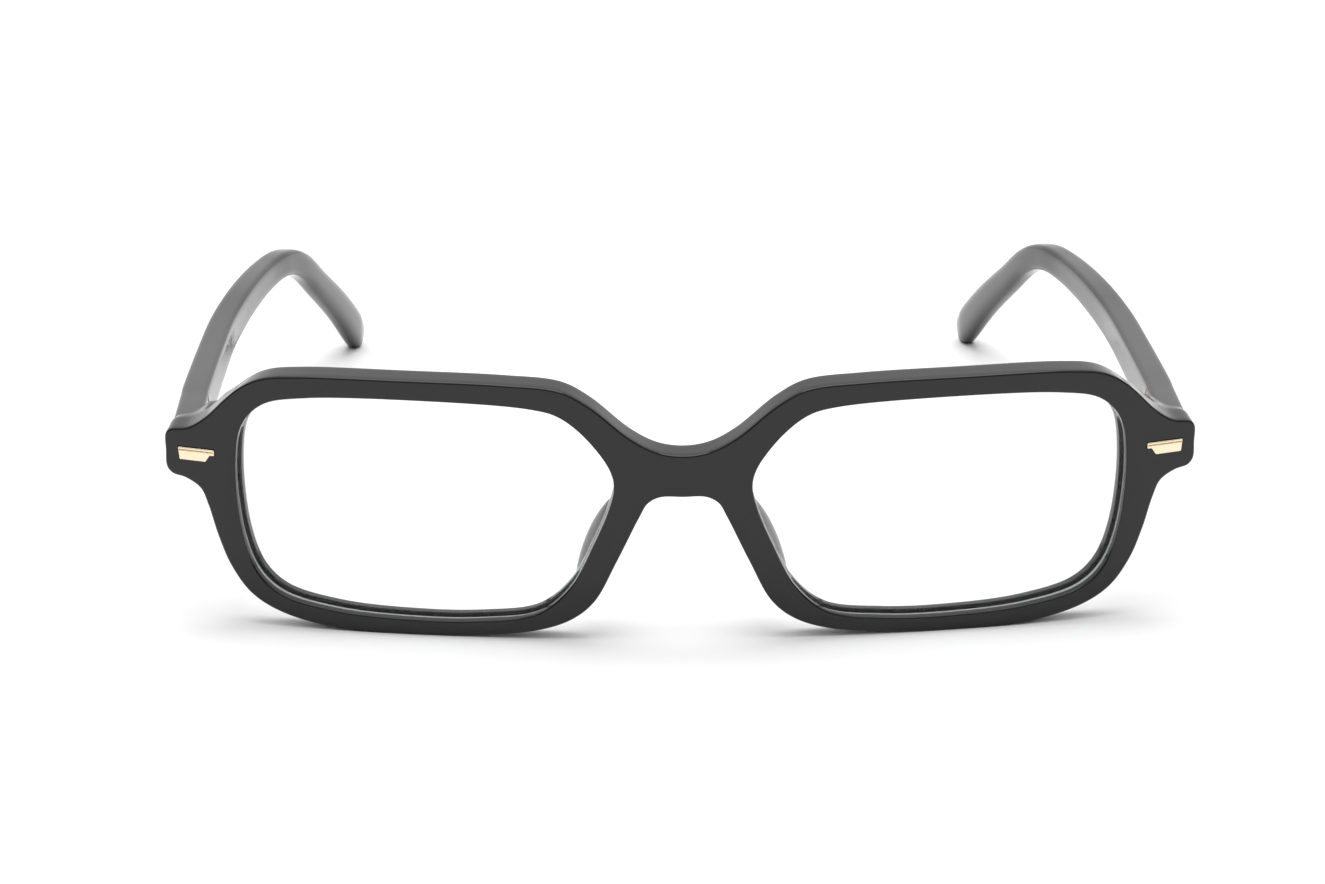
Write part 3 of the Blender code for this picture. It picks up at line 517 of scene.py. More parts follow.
def add_piece(name, mesh, material, node):
    """A finished piece: shown in place of its CAD node, and riding on that node's body."""
    mesh.materials.clear()
    mesh.materials.append(material)
    piece = bpy.data.objects.new(name, mesh)
    bpy.context.scene.collection.objects.link(piece)
    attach(piece, frame["nodes"][node]["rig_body"])
    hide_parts(node)
    return piece


def add_pair(kind, node, material, make_mesh):
    """A piece on each side, from a function of the sizes, the piece's name and its side."""
    for name, side in SIDES:
        mesh = make_mesh(bpy.context.scene.spectacle_sizes, f"{kind}_{name}", side)
        add_piece(f"{kind}_{name}", mesh, material, f"{node}_{name}")


def cut_mesh(mesh, cutters):
    """The mesh with closed solids cut out of it."""
    scene = bpy.context.scene
    blank = bpy.data.objects.new("blank", mesh)
    scene.collection.objects.link(blank)
    tools = []
    for cutter in cutters:
        tool = bpy.data.objects.new("tool", cutter)
        scene.collection.objects.link(tool)
        modifier = blank.modifiers.new("cut", "BOOLEAN")
        modifier.operation = "DIFFERENCE"
        modifier.solver = "EXACT"
        modifier.object = tool
        tools.append(tool)
    graph = bpy.context.evaluated_depsgraph_get()
    result = bpy.data.meshes.new_from_object(blank.evaluated_get(graph))
    for thing in (blank, *tools):
        bpy.data.objects.remove(thing, do_unlink=True)
    return result


# --- the curved sheet ----------------------------------------------------------------------

def from_end(sizes, distance):
    """The sheet's u at a distance in from its end."""
    return sizes.half_width - distance


def end_level(sizes):
    """The sheet's v at the middle of its end pieces."""
    return END_SHARE * sizes.front_height


def sheet_point(sizes, u):
    """Point of the rolled front face, and the angle at which its depth runs.

    The face is an arc: x = R sin(u/R), y = R (1 - cos(u/R)). The angle is u/R, and eases to the
    lugs' own toe-in at the ends.
    """
    angle = u / FACE_RADIUS
    start, end = from_end(sizes, LUG_STRAIGHT), from_end(sizes, LUG_INNER)
    share = smooth_step((np.abs(u) - start) / (end - start))
    toe = angle * (1.0 - share) + np.sign(u) * LUG_TOE_IN * share
    return FACE_RADIUS * np.sin(angle), FACE_RADIUS * (1.0 - np.cos(angle)), toe


def bench_sheet(sizes, u, v, w):
    """Sheet coordinates to the bench: rolled round a vertical cylinder, then leant forward.

    The lean turns y and v by its angle.
    """
    x, y, toe = sheet_point(sizes, u)
    x = x - w * np.sin(toe)
    y = y + w * np.cos(toe)
    back = y * math.cos(LEAN) - v * math.sin(LEAN) + LEAN_OFFSET
    rise = v * math.cos(LEAN) + y * math.sin(LEAN)
    return np.stack([x, back, rise], axis=-1)


def stand(sizes):
    """From the bench to the frame: the front's nearest and highest points meet its CAD box."""
    low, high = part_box("front")
    outline = front_loop(sizes)
    rim = grown(outline, -sizes.edge_radius)
    nearest = bench_sheet(sizes, rim[:, 0], rim[:, 1], 0.0)[:, 1].min()
    wall = sizes.sheet_thickness - sizes.edge_radius
    highest = bench_sheet(sizes, outline[:, 0], outline[:, 1], wall)[:, 2].max()
    return np.array([0.0, low[1] - nearest, high[2] - highest])


def bend_sheet(sizes, u, v, w):
    """Sheet coordinates to the frame, where the front stands on the table."""
    return bench_sheet(sizes, u, v, w) + stand(sizes)


def outer_x(sizes):
    """Distance from the middle to the temples' outer faces."""
    return FACE_RADIUS * math.sin(sizes.half_width / FACE_RADIUS) - END_ROUNDING


def mitre_start(sizes):
    """Depth on the bench at which the mitre plane passes the temples' outer faces."""
    curve = FACE_RADIUS * (1.0 - math.cos(sizes.half_width / FACE_RADIUS))
    end = curve * math.cos(LEAN) - end_level(sizes) * math.sin(LEAN) + LEAN_OFFSET
    return end + sizes.sheet_thickness + LUG_DEPTH


def mitre_reach(sizes):
    """Distance of the mitre plane from the bench's origin, along the plane's normal."""
    return outer_x(sizes) * math.sin(MITRE_ANGLE) + mitre_start(sizes) * math.cos(MITRE_ANGLE)


def mitre_depth(sizes, u, v):
    """Depth at which a line through the sheet at (u, v) meets the mitre plane."""
    x, y, toe = sheet_point(sizes, u)
    slant, face = math.sin(MITRE_ANGLE), math.cos(MITRE_ANGLE)
    back = y * math.cos(LEAN) - v * math.sin(LEAN) + LEAN_OFFSET
    gain = np.cos(toe) * math.cos(LEAN) * face - np.abs(np.sin(toe)) * slant
    return (mitre_reach(sizes) - np.abs(x) * slant - back * face) / gain


def back_depth(sizes, u, v):
    """Depth of the front's back: the sheet's thickness, and the mitre plane over the lugs.

    Each lug slopes up from its inner edge to a crest, and its sides rise over a short blend.
    """
    inner, crest = from_end(sizes, LUG_INNER), from_end(sizes, LUG_CREST)
    across = np.abs(u)
    sides = np.sign(u)
    share = np.clip((crest - across) / (crest - inner), 0.0, 1.0)
    top = mitre_depth(sizes, sides * np.maximum(across, crest), v)
    lug = top + (sizes.sheet_thickness + LUG_SHOULDER - top) * share
    return sizes.sheet_thickness + (lug - sizes.sheet_thickness) * lug_share(sizes, u, v)


def lug_share(sizes, u, v):
    """1 over a lug, 0 away from it, and a smooth blend round its inner edge and its sides."""
    inner = from_end(sizes, LUG_INNER)
    along = smooth_step((np.abs(u) - inner + LUG_BLEND) / LUG_BLEND)
    reach = LUG_HEIGHT / 2 + LUG_BLEND - np.abs(v - end_level(sizes))
    return along * smooth_step(reach / LUG_BLEND)


def on_sheet(sizes, loop_rings, depths):
    """Rings of (u, v) points, each with its own depths, as points of the frame."""
    u, v = loop_rings[..., 0], loop_rings[..., 1]
    return bend_sheet(sizes, u, v, np.broadcast_to(depths, u.shape))


# --- the front -----------------------------------------------------------------------------

def front_loop(sizes):
    """The front's outer outline: the half outline and its mirror image."""
    scale = np.array([sizes.half_width, sizes.front_height])
    half = np.array(OUTER_HALF) * scale
    underside = np.array([[0.0, half[-1, 1] + UNDERSIDE_RISE]])
    other = half[:0:-1] * np.array([-1.0, 1.0])
    return closed_spline(np.vstack([half, underside, other]))


def opening_loop(sizes, side):
    """The lens opening on one side, before it gets its rounded edges and groove."""
    scale = np.array([sizes.half_width, sizes.front_height])
    return closed_spline(np.array(OPENING) * scale) * np.array([side, 1.0])


def plaque_loop(sizes, side, clearance):
    """Outline of a plaque, or of its recess: a bar with a narrow neck at its inner end."""
    outer = from_end(sizes, PLAQUE_INSET)
    inner = outer - PLAQUE_LENGTH
    top = end_level(sizes) + PLAQUE_RISE
    neck, bottom = top - PLAQUE_NECK, top - PLAQUE_HEIGHT
    corner = PLAQUE_CORNER
    corners = np.array([
        (inner, top), (inner, neck), (inner + PLAQUE_STEP / 2, neck),
        (inner + PLAQUE_STEP, bottom), (outer - 1.2 * corner, bottom), (outer, top),
    ])
    return rounded(grown_corners(corners, clearance), corner) * np.array([side, 1.0])


def grown_corners(corners, distance):
    """A polygon with each side moved outwards by a distance: neighbours meet on their mitres."""
    before = corners - np.roll(corners, 1, axis=0)
    after = np.roll(corners, -1, axis=0) - corners
    normals = []
    for side in (before, after):
        side = side / np.linalg.norm(side, axis=1)[:, None]
        normals.append(np.stack([side[:, 1], -side[:, 0]], axis=1))
    total = normals[0] + normals[1]
    return corners + total * distance / (1.0 + np.sum(normals[0] * normals[1], axis=1))[:, None]


def rounded(corners, radius, steps=6):
    """A polygon with each corner replaced by a parabola that is tangent to both its sides."""
    before = np.roll(corners, 1, axis=0) - corners
    after = np.roll(corners, -1, axis=0) - corners
    start = corners + radius * before / np.linalg.norm(before, axis=1)[:, None]
    end = corners + radius * after / np.linalg.norm(after, axis=1)[:, None]
    t = np.linspace(0.0, 1.0, steps)[None, :, None]
    curve = (start[:, None] * (1 - t) ** 2 + corners[:, None] * 2 * t * (1 - t)
             + end[:, None] * t ** 2)
    return curve.reshape(-1, 2)


def outer_edge(sizes, outline):
    """The front's outer edge: a profile of inset and depth carried round the outline.

    It is a quarter circle, a straight wall, and a second quarter circle. Over the lugs the second
    one is drawn out into an easy taper that ends on the mitre plane.
    """
    radius, thick = sizes.edge_radius, sizes.sheet_thickness
    turn = quarter_turn()
    wall = thick - radius
    rings = [(radius * (1 - math.sin(a)), radius * (1 - math.cos(a))) for a in turn]
    rings += [(0.0, wall * share) for share in WALL_SHARES]
    points = [np.c_[grown(outline, -inset), np.full(len(outline), depth)] for inset, depth in rings]
    final = grown(outline, -radius)
    lug = lug_share(sizes, final[:, 0], final[:, 1])
    end = back_depth(sizes, final[:, 0], final[:, 1])
    for share in np.linspace(0.0, 1.0, EDGE_STEPS + 2):
        inset = radius * ((1 - math.cos(share * math.pi / 2)) * (1 - lug) + smooth_step(share) * lug)
        plain = wall + radius * math.sin(share * math.pi / 2)
        drawn = wall + (end - wall) * share
        depth = plain * (1 - lug) + drawn * lug if share < 1.0 else end
        ring = outline + (final - outline) * (inset / radius)[:, None]
        points.append(np.c_[ring, depth])
    points = np.array(points)
    return surface(bend_sheet(sizes, points[..., 0], points[..., 1], points[..., 2]))


def opening_edge(sizes, loop):
    """A lens opening's wall: rounded front edge, groove for the lens, rounded back edge."""
    radius, thick = sizes.edge_radius, sizes.sheet_thickness
    turn = quarter_turn()
    near, far = LENS_DEPTH - GROOVE_HALF, LENS_DEPTH + GROOVE_HALF
    profile = [(radius * (1 - math.sin(a)), radius * (1 - math.cos(a))) for a in turn]
    profile += [(0.0, near), (GROOVE_DEPTH, near), (GROOVE_DEPTH, far), (0.0, far)]
    profile += [(radius * (1 - math.cos(a)), thick - radius * (1 - math.sin(a))) for a in turn]
    rings = np.array([grown(loop, out) for out, _ in profile])
    depths = np.array([depth for _, depth in profile])[:, None]
    return surface(on_sheet(sizes, rings, depths))


def make_front_mesh(sizes):
    """The acetate front: face, back, outer edge, two openings and two plaque recesses."""
    radius = sizes.edge_radius
    outline = front_loop(sizes)
    openings = [opening_loop(sizes, side) for _, side in SIDES]
    recesses = [plaque_loop(sizes, side, PLAQUE_CLEARANCE) for _, side in SIDES]
    rim = grown(outline, -radius)
    holes = [grown(loop, radius) for loop in openings]
    parts = [outer_edge(sizes, outline)]
    parts += [opening_edge(sizes, loop) for loop in openings]
    flat, faces = fill([rim, *holes, *recesses], FILL_SPACING)
    parts.append((on_sheet(sizes, flat, 0.0), faces))
    floor = PLAQUE_SUNK + PLAQUE_CLEARANCE
    for loop in recesses:
        wall = np.stack([loop, loop])
        parts.append(surface(on_sheet(sizes, wall, np.array([[0.0], [floor]]))))
        flat, faces = fill([loop], FILL_SPACING)
        parts.append((on_sheet(sizes, flat, floor), faces))
    flat, faces = fill([rim, *holes], FILL_SPACING, lug_areas(sizes))
    depth = back_depth(sizes, flat[:, 0], flat[:, 1])
    parts.append((on_sheet(sizes, flat, depth), faces))
    return build_mesh("front_acetate", on_table(parts))


def lug_areas(sizes):
    """Where the back needs a closer net: along the lugs' inner edges, sides and crests."""
    inner, crest, end = (from_end(sizes, d) for d in (LUG_INNER, LUG_CREST, 0.0))
    level, half = end_level(sizes), LUG_HEIGHT / 2
    step = LUG_BLEND / 3
    areas = []
    for u0, u1, v0, v1 in (
            (inner - 1.3 * LUG_BLEND, inner + step, level - half, level + half),
            (inner - LUG_BLEND, end, level + half - step, level + half + 1.3 * LUG_BLEND),
            (inner - LUG_BLEND, end, level - half - 1.3 * LUG_BLEND, level - half + step),
            (crest - step, crest + step, level - half, level + half)):
        areas += [(u0, u1, v0, v1, step), (-u1, -u0, v0, v1, step)]
    return areas


def on_table(parts):
    """Surfaces whose lowest points are laid flat on the table, at height 0."""
    flattened = []
    for points, faces in parts:
        points = points.copy()
        points[:, 2] = np.maximum(points[:, 2], 0.0)
        flattened.append((points, faces))
    return flattened


# --- lenses, pads and plaques --------------------------------------------------------------

def make_lens_mesh(sizes, name, side):
    """Lens: a disc whose radius runs from its centre to the groove, domed forward.

    Point = centre + r (edge - centre) for r from 0 to 1, with a dome of height b (1 - r²).
    """
    edge = grown(opening_loop(sizes, side), sizes.lens_insert)
    half, bevel = sizes.lens_thickness / 2, LENS_BEVEL
    brim = grown(edge, -bevel)
    centre = brim.mean(axis=0)
    shares = np.sin(np.linspace(0.0, math.pi / 2, LENS_RINGS))
    face = centre + shares[:, None, None] * (brim - centre)
    dome = LENS_DEPTH - sizes.lens_dome * (1.0 - shares ** 2)
    rings = np.concatenate([face, [edge, edge], face[::-1]])
    depths = np.concatenate([dome - half, [LENS_DEPTH - half + bevel, LENS_DEPTH + half - bevel],
                             dome[::-1] + half])
    points = on_sheet(sizes, rings, depths[:, None])
    return build_mesh(name, [surface(points)])


def make_pad_mesh(sizes, name, side):
    """Nose pad: a D section carried down the rim's back, swelling in the middle.

    Across it is h cos(a) with h the half width, and its depth is the ridge's height times sin(a);
    its underside is sunk a little into the rim. Both shrink to nothing at the pad's two ends.
    """
    share = np.linspace(0.0, 1.0, PAD_ROWS)[:, None]
    turn = np.linspace(0.0, 2 * math.pi, PAD_COLUMNS, endpoint=False)[None, :]
    scale = np.array([sizes.half_width, sizes.front_height])
    top, foot = np.array(PAD_TOP) * scale, np.array(PAD_FOOT) * scale
    swell = np.sin(math.pi * share) ** PAD_SWELL
    ridge = np.maximum(np.sin(turn), 0.0) ** PAD_RIDGE
    width = sizes.pad_width * (PAD_NARROWEST + (1.0 - PAD_NARROWEST) * swell) * swell ** PAD_ENDS
    half = width / 2 * (1.0 - PAD_PINCH * ridge)
    lean = sizes.pad_splay * swell * ridge
    u = top[0] + (foot[0] - top[0]) * share + half * np.cos(turn) + lean
    v = top[1] + (foot[1] - top[1]) * share
    sink = PAD_SINK * np.maximum(-np.sin(turn), 0.0)
    w = sizes.sheet_thickness + sizes.pad_depth * swell * ridge - sink
    points = bend_sheet(sizes, side * u, v, w)
    return build_mesh(name, [surface(points)], sharp=60.0, weld=2e-6)


def make_plaque_mesh(sizes, name, side):
    """Plaque: its outline with a rounded front edge, and a face with one groove under its lip.

    The groove's depth follows a cosine hollow across its width.
    """
    loop = plaque_loop(sizes, side, 0.0)
    turn = quarter_turn()
    rings = [loop, loop]
    depths = [PLAQUE_SUNK, PLAQUE_EDGE - PLAQUE_PROUD]
    for a in turn[1:]:
        rings.append(grown(loop, -PLAQUE_EDGE * (1 - math.cos(a))))
        depths.append(PLAQUE_EDGE * (1 - math.sin(a)) - PLAQUE_PROUD)
    wall = surface(on_sheet(sizes, np.array(rings), np.array(depths)[:, None]))
    face, faces = fill([rings[-1]], PLAQUE_SPACING)
    line = end_level(sizes) + PLAQUE_RISE - PLAQUE_LIP
    across = np.clip((face[:, 1] - line) / PLAQUE_LINE, -1.0, 1.0)
    margin = clear_of(face, rings[-1], PLAQUE_MARGIN)
    hollow = PLAQUE_LINE_DEPTH * (0.5 + 0.5 * np.cos(math.pi * across)) * margin
    front = (on_sheet(sizes, face, hollow - PLAQUE_PROUD), faces)
    back, back_faces = fill([loop], PLAQUE_HEIGHT / 4)
    rear = (on_sheet(sizes, back, PLAQUE_SUNK), back_faces)
    return build_mesh(name, [wall, front, rear], sharp=40.0)


# --- temples -------------------------------------------------------------------------------

def temple_rows(sizes):
    """Centre, width, height and direction along the temple.

    A Catmull-Rom curve through the stations: each span is a cubic of its four nearest stations.
    """
    share, inset, rise, width, height = np.array(TEMPLE_STATIONS).T
    level = end_level(sizes) + TEMPLE_RISE
    stations = np.stack([
        outer_x(sizes) - (inset + width / 2) * MM, mitre_start(sizes) + share * sizes.temple_length,
        rise * level, width * MM, height * MM, share], axis=1)
    ends = np.vstack([2 * stations[0] - stations[1], stations, 2 * stations[-1] - stations[-2]])
    t = np.linspace(0.0, 1.0, RINGS_PER_STATION, endpoint=False)[None, :, None]
    p0, p1, p2, p3 = (ends[k:len(ends) - 3 + k, None, :] for k in range(4))
    rows = 0.5 * (2 * p1 + (p2 - p0) * t + (2 * p0 - 5 * p1 + 4 * p2 - p3) * t ** 2
                  + (3 * p1 - p0 - 3 * p2 + p3) * t ** 3)
    rows = np.vstack([rows.reshape(-1, 6), stations[-1]])
    along = np.gradient(rows[:, :3], axis=0)
    along /= np.linalg.norm(along, axis=1)[:, None]
    return rows, along


def superellipse(square):
    """Unit sections of growing roundness: r = (|cos a|^n + |sin a|^n)^(-1/n) at angle a.

    The angles are crowded towards the corners.
    """
    even = np.linspace(0.0, 2 * math.pi, SECTION_POINTS, endpoint=False)[None, :]
    turn = even + CORNER_CROWDING * np.sin(4 * even)
    power = square[:, None]
    cos, sin = np.cos(turn), np.sin(turn)
    radius = (np.abs(cos) ** power + np.abs(sin) ** power) ** (-1.0 / power)
    return radius * cos, radius * sin


def make_temple_mesh(sizes, name, side):
    """Temple: superellipse sections square to its run, mitred in front and domed at its tip.

    Each section is width/2 across and height/2 up from the centre line, and grows rounder
    towards the tip. The tip's last rings close on an ellipse.
    """
    rows, along = temple_rows(sizes)
    across = np.stack([along[:, 1], -along[:, 0], np.zeros(len(along))], axis=1)
    across /= np.linalg.norm(across, axis=1)[:, None]
    up = np.cross(across, along)
    ease = smooth_step((rows[:, 5] - ROUND_FROM) / ROUND_OVER)
    wide, tall = superellipse(SQUARE_FRONT + (SQUARE_TIP - SQUARE_FRONT) * ease)
    wide, tall = wide * rows[:, 3:4] / 2, tall * rows[:, 4:5] / 2
    rings = (rows[:, None, :3] + wide[..., None] * across[:, None] + tall[..., None] * up[:, None])
    rings = np.concatenate([mitred_start(sizes, rings), rings[2:], domed_end(rings)])
    rings = rings * np.array([side, 1.0, 1.0]) + stand(sizes)
    parts = [surface(rings), cap(rings[0]), cap(rings[-1])]
    return build_mesh(name, on_table(parts), sharp=30.0)


def mitred_start(sizes, rings):
    """The first ring laid on the mitre plane, with a small bevel round its edge."""
    ring = rings[0].copy()
    middle = ring.mean(axis=0)
    spokes = ring - middle
    inset = middle + spokes * (1.0 - MITRE_EDGE / np.linalg.norm(spokes, axis=1))[:, None]
    laid = []
    for points, setback in ((inset, 0.0), (ring, 0.5 * MITRE_EDGE), (ring, 1.6 * MITRE_EDGE)):
        points = points.copy()
        plane = mitre_reach(sizes) + MITRE_GAP - np.abs(points[:, 0]) * math.sin(MITRE_ANGLE)
        points[:, 1] = plane / math.cos(MITRE_ANGLE) + setback
        laid.append(points)
    return np.array(laid)


def domed_end(rings):
    """Rings past the last one that shrink on a quarter ellipse, to close the tip."""
    last, before = rings[-1], rings[-2]
    middle = last.mean(axis=0)
    run = middle - before.mean(axis=0)
    run /= np.linalg.norm(run)
    turn = np.linspace(0.0, math.pi / 2, TIP_STEPS + 1)[1:-1, None, None]
    return middle + (last - middle) * np.cos(turn) + run * TIP_DOME * np.sin(turn)


def cap(ring):
    """A fan of triangles from a ring's middle to its points."""
    count = len(ring)
    index = np.arange(count)
    fan = np.stack([index, (index + 1) % count, np.full(count, count)], axis=1)
    return np.vstack([ring, ring.mean(axis=0)]), fan


def hinge_room(side_name, side):
    """Solids cut out of the temple: the seat of its hinge leaf, and room for the knuckles."""
    low, high = (np.array(p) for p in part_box(f"temple_hinge_{side_name}"))
    screw_low, screw_high = (np.array(p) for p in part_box(f"hinge_screw_{side_name}"))
    axis = (screw_low + screw_high) / 2
    clear = LEAF_CLEARANCE
    outer = high[0] if side > 0 else low[0]
    inner = axis[0] - side * PAST
    xs = sorted((inner, outer + side * clear))
    seat_low = np.array([xs[0], axis[1] - KNUCKLE_RADIUS / 2 - clear, low[2] - clear])
    seat_high = np.array([xs[1], high[1] + clear, high[2] + clear])
    bm = bmesh.new()
    place = Matrix.Translation(Vector((seat_low + seat_high) / 2))
    size = Matrix.Diagonal((*(seat_high - seat_low), 1.0))
    bmesh.ops.create_cube(bm, size=1.0, matrix=place @ size)
    seat = bpy.data.meshes.new("seat")
    bm.to_mesh(seat)
    bm.free()
    turn = np.linspace(0.0, 2 * math.pi, RELIEF_SIDES, endpoint=False)
    radius = KNUCKLE_RADIUS + KNUCKLE_RELIEF
    ring = np.stack([axis[0] + radius * np.cos(turn), axis[1] + radius * np.sin(turn)], axis=1)
    levels = np.array([low[2] - PAST, high[2] + PAST])
    tube = np.array([np.c_[ring, np.full(len(ring), level)] for level in levels])
    relief = build_mesh("relief", [surface(tube), cap(tube[0]), cap(tube[-1])])
    return [seat, relief]


# --- hinges, screws and cores --------------------------------------------------------------

def eased_copy(node, name):
    """A CAD node's shape with its loose triangles joined and its flat faces merged; a bevel eases its
    edges later.
    """
    bm = bmesh.new()
    bm.from_mesh(frame["nodes"][node].data)
    bmesh.ops.remove_doubles(bm, verts=bm.verts, dist=1e-6)
    bmesh.ops.dissolve_limit(bm, angle_limit=math.radians(1.0), verts=bm.verts, edges=bm.edges)
    bmesh.ops.triangulate(bm, faces=[face for face in bm.faces if len(face.verts) > 4])
    mesh = bpy.data.meshes.new(name)
    bm.to_mesh(mesh)
    bm.free()
    mesh.shade_smooth()
    mesh.set_sharp_from_angle(angle=math.radians(SHARP_ANGLE))
    return mesh


# --- settings ------------------------------------------------------------------------------

def number(name, description, value, **kind):
    """A number that the user can set; kind gives its unit, subtype or limits."""
    return FloatProperty(name=name, description=description, default=value, precision=5, **kind)


def colour(name, description, text):
    """A colour that the user can set, given here in sRGB hex."""
    return FloatVectorProperty(name=name, description=description, default=linear(text), size=4,
                               subtype="COLOR", min=0.0, max=1.0)


class SpectacleSizes(bpy.types.PropertyGroup):
    """Sizes of the spectacle frame."""

    half_width: number(
        "Half width", "Half of the front's width, along its curve",
        FACE_RADIUS * math.asin(CAD_BOX[1][0] / FACE_RADIUS), unit="LENGTH")
    front_height: number(
        "Front height", "Height of the front, along its lean", 38.2 * MM, unit="LENGTH")
    sheet_thickness: number(
        "Sheet thickness", "Thickness of the acetate sheet", 4.0 * MM, unit="LENGTH")
    edge_radius: number(
        "Edge radius", "Radius of the front's tumbled edges", 0.32 * MM, unit="LENGTH")
    temple_length: number(
        "Temple length", "Length of a temple from the mitre to its tip", 131.8 * MM, unit="LENGTH")
    lens_thickness: number(
        "Lens thickness", "Thickness of the demo lenses", 1.6 * MM, unit="LENGTH")
    lens_insert: number(
        "Lens insert", "How far a lens reaches into the groove", 0.45 * MM, unit="LENGTH")
    lens_dome: number(
        "Lens dome", "How far the middle of a lens stands forward of its edge", 0.6 * MM, unit="LENGTH")
    pad_width: number(
        "Pad width", "Width of a nose pad where it meets the rim", 2.8 * MM, unit="LENGTH")
    pad_depth: number(
        "Pad depth", "How far a nose pad stands behind the rim", 5.2 * MM, unit="LENGTH")
    pad_splay: number(
        "Pad splay", "How far a nose pad's ridge leans outwards", 2.0 * MM, unit="LENGTH")


class SpectacleFinishes(bpy.types.PropertyGroup):
    """Colours of the spectacle frame and of its stage."""

    acetate_colour: colour("Acetate", "Colour of the black acetate", "#080708")
    # The lens's white base colour is a painted reflection, shown through its Fresnel alpha.
    lens_reflection_colour: colour("Lens", "Colour of the light that a lens throws back", "#F6F8F8")
    gold_colour: colour("Plaque gold", "Colour of the plaques' gold plate", "#F0E4CE")
    hinge_colour: colour("Hinge gold", "Colour of the hinges and screws", "#D9B878")
    core_colour: colour("Core wire", "Colour of the nickel silver core wires", "#C9C5BC")
    paper_colour: colour("Paper", "Colour of the white paper floor", "#F7F7F7")


class SpectacleStage(bpy.types.PropertyGroup):
    """Sizes and lights of the stage, and the camera's place."""

    paper_size: number("Paper size", "Width and depth of the paper floor", 8.0, unit="LENGTH")
    room_light: number(
        "Room light", "Strength of the white light from above and behind", 1.0, min=0.0)
    dim_light: number(
        "Dim light", "Strength of the light from the camera's side of the room", 0.12, min=0.0)
    softbox_light: number("Softbox light", "Power of the overhead softbox in watts", 7.5, min=0.0)
    softbox_size: number("Softbox size", "Side of the square softbox", 0.9, unit="LENGTH")
    softbox_height: number(
        "Softbox height", "Height of the softbox over the floor", 1.1, unit="LENGTH")
    lens: number("Camera lens", "Focal length in millimetres on a 36 mm sensor", 121.99, min=1.0)
    camera_place: FloatVectorProperty(
        name="Camera place", description="Where the camera stands",
        default=(-0.01477, -0.65193, 0.21279), subtype="TRANSLATION", unit="LENGTH", precision=5)
    camera_down: number("Look down", "How far the camera looks down", 0.3075, subtype="ANGLE")
    camera_turn: number(
        "Turn", "How far the camera is turned about the vertical", -0.0207, subtype="ANGLE")
    camera_roll: number(
        "Roll", "How far the camera is rolled about its own line of sight", -0.0017, subtype="ANGLE")


# --- operators -----------------------------------------------------------------------------

class SPECTACLES_OT_front(bpy.types.Operator):
    """Build the acetate front with its rounded edges, lens grooves, lugs and recesses."""

    bl_idname = "spectacles.front"
    bl_label = "Front"

    def execute(self, context):
        mesh = make_front_mesh(context.scene.spectacle_sizes)
        material = finish_material("acetate", polished_acetate)
        add_piece("front_acetate", mesh, material, "front")
        return {"FINISHED"}


class SPECTACLES_OT_lenses(bpy.types.Operator):
    """Build both clear demo lenses, domed and bevelled into their grooves."""

    bl_idname = "spectacles.lenses"
    bl_label = "Lenses"

    def execute(self, context):
        material = finish_material("lens", clear_lens)
        add_pair("lens_clear", "lens", material, make_lens_mesh)
        return {"FINISHED"}


class SPECTACLES_OT_pads(bpy.types.Operator):
    """Build both nose pads, cemented behind the rims."""

    bl_idname = "spectacles.pads"
    bl_label = "Nose pads"

    def execute(self, context):
        material = finish_material("acetate", polished_acetate)
        add_pair("nose_pad_acetate", "nose_pad", material, make_pad_mesh)
        return {"FINISHED"}


class SPECTACLES_OT_plaques(bpy.types.Operator):
    """Build both gold plaques, let into the end pieces."""

    bl_idname = "spectacles.plaques"
    bl_label = "Plaques"

    def execute(self, context):
        material = finish_material("plaque", plated_gold)
        add_pair("plaque_gold", "plaque", material, make_plaque_mesh)
        return {"FINISHED"}


class SPECTACLES_OT_temples(bpy.types.Operator):
    """Build both temples, from the mitre to the rounded tip, with seats for their hinge leaves."""

    bl_idname = "spectacles.temples"
    bl_label = "Temples"

    def execute(self, context):
        material = finish_material("acetate", polished_acetate)
        for name, side in SIDES:
            whole = make_temple_mesh(context.scene.spectacle_sizes, f"temple_blank_{name}", side)
            mesh = cut_mesh(whole, hinge_room(name, side))
            mesh.name = f"temple_acetate_{name}"
            add_piece(mesh.name, mesh, material, f"temple_{name}")
        return {"FINISHED"}


class SPECTACLES_OT_hardware(bpy.types.Operator):
    """Finish the hinges and screws with eased edges, and the core wires in nickel silver."""

    bl_idname = "spectacles.hardware"
    bl_label = "Hinges, screws and cores"

    def execute(self, context):
        material = finish_material("hinge", turned_gold)
        for kind in HARDWARE:
            for name, _ in SIDES:
                node = f"{kind}_{name}"
                mesh = eased_copy(node, f"{kind}_eased_{name}")
                piece = add_piece(mesh.name, mesh, material, node)
                bevel = piece.modifiers.new("eased edges", "BEVEL")
                bevel.width = HARDWARE_BEVEL
                bevel.segments = 2
                bevel.limit_method = "ANGLE"
                bevel.angle_limit = math.radians(40.0)
                bevel.harden_normals = False
        nickel = finish_material("core", drawn_nickel_silver)
        for name, _ in SIDES:
            core = frame["nodes"][f"temple_core_{name}"]
            core.data.materials.clear()
            core.data.materials.append(nickel)
        return {"FINISHED"}


class SPECTACLES_OT_stage(bpy.types.Operator):
    """Set the stage: white paper floor, even soft light and the camera."""

    bl_idname = "spectacles.stage"
    bl_label = "Stage"

    def execute(self, context):
        stage = context.scene.spectacle_stage
        add_paper(stage)
        add_lights(stage)
        add_camera(stage)
        context.scene.view_settings.view_transform = "Standard"
        context.scene.view_settings.look = "None"
        return {"FINISHED"}


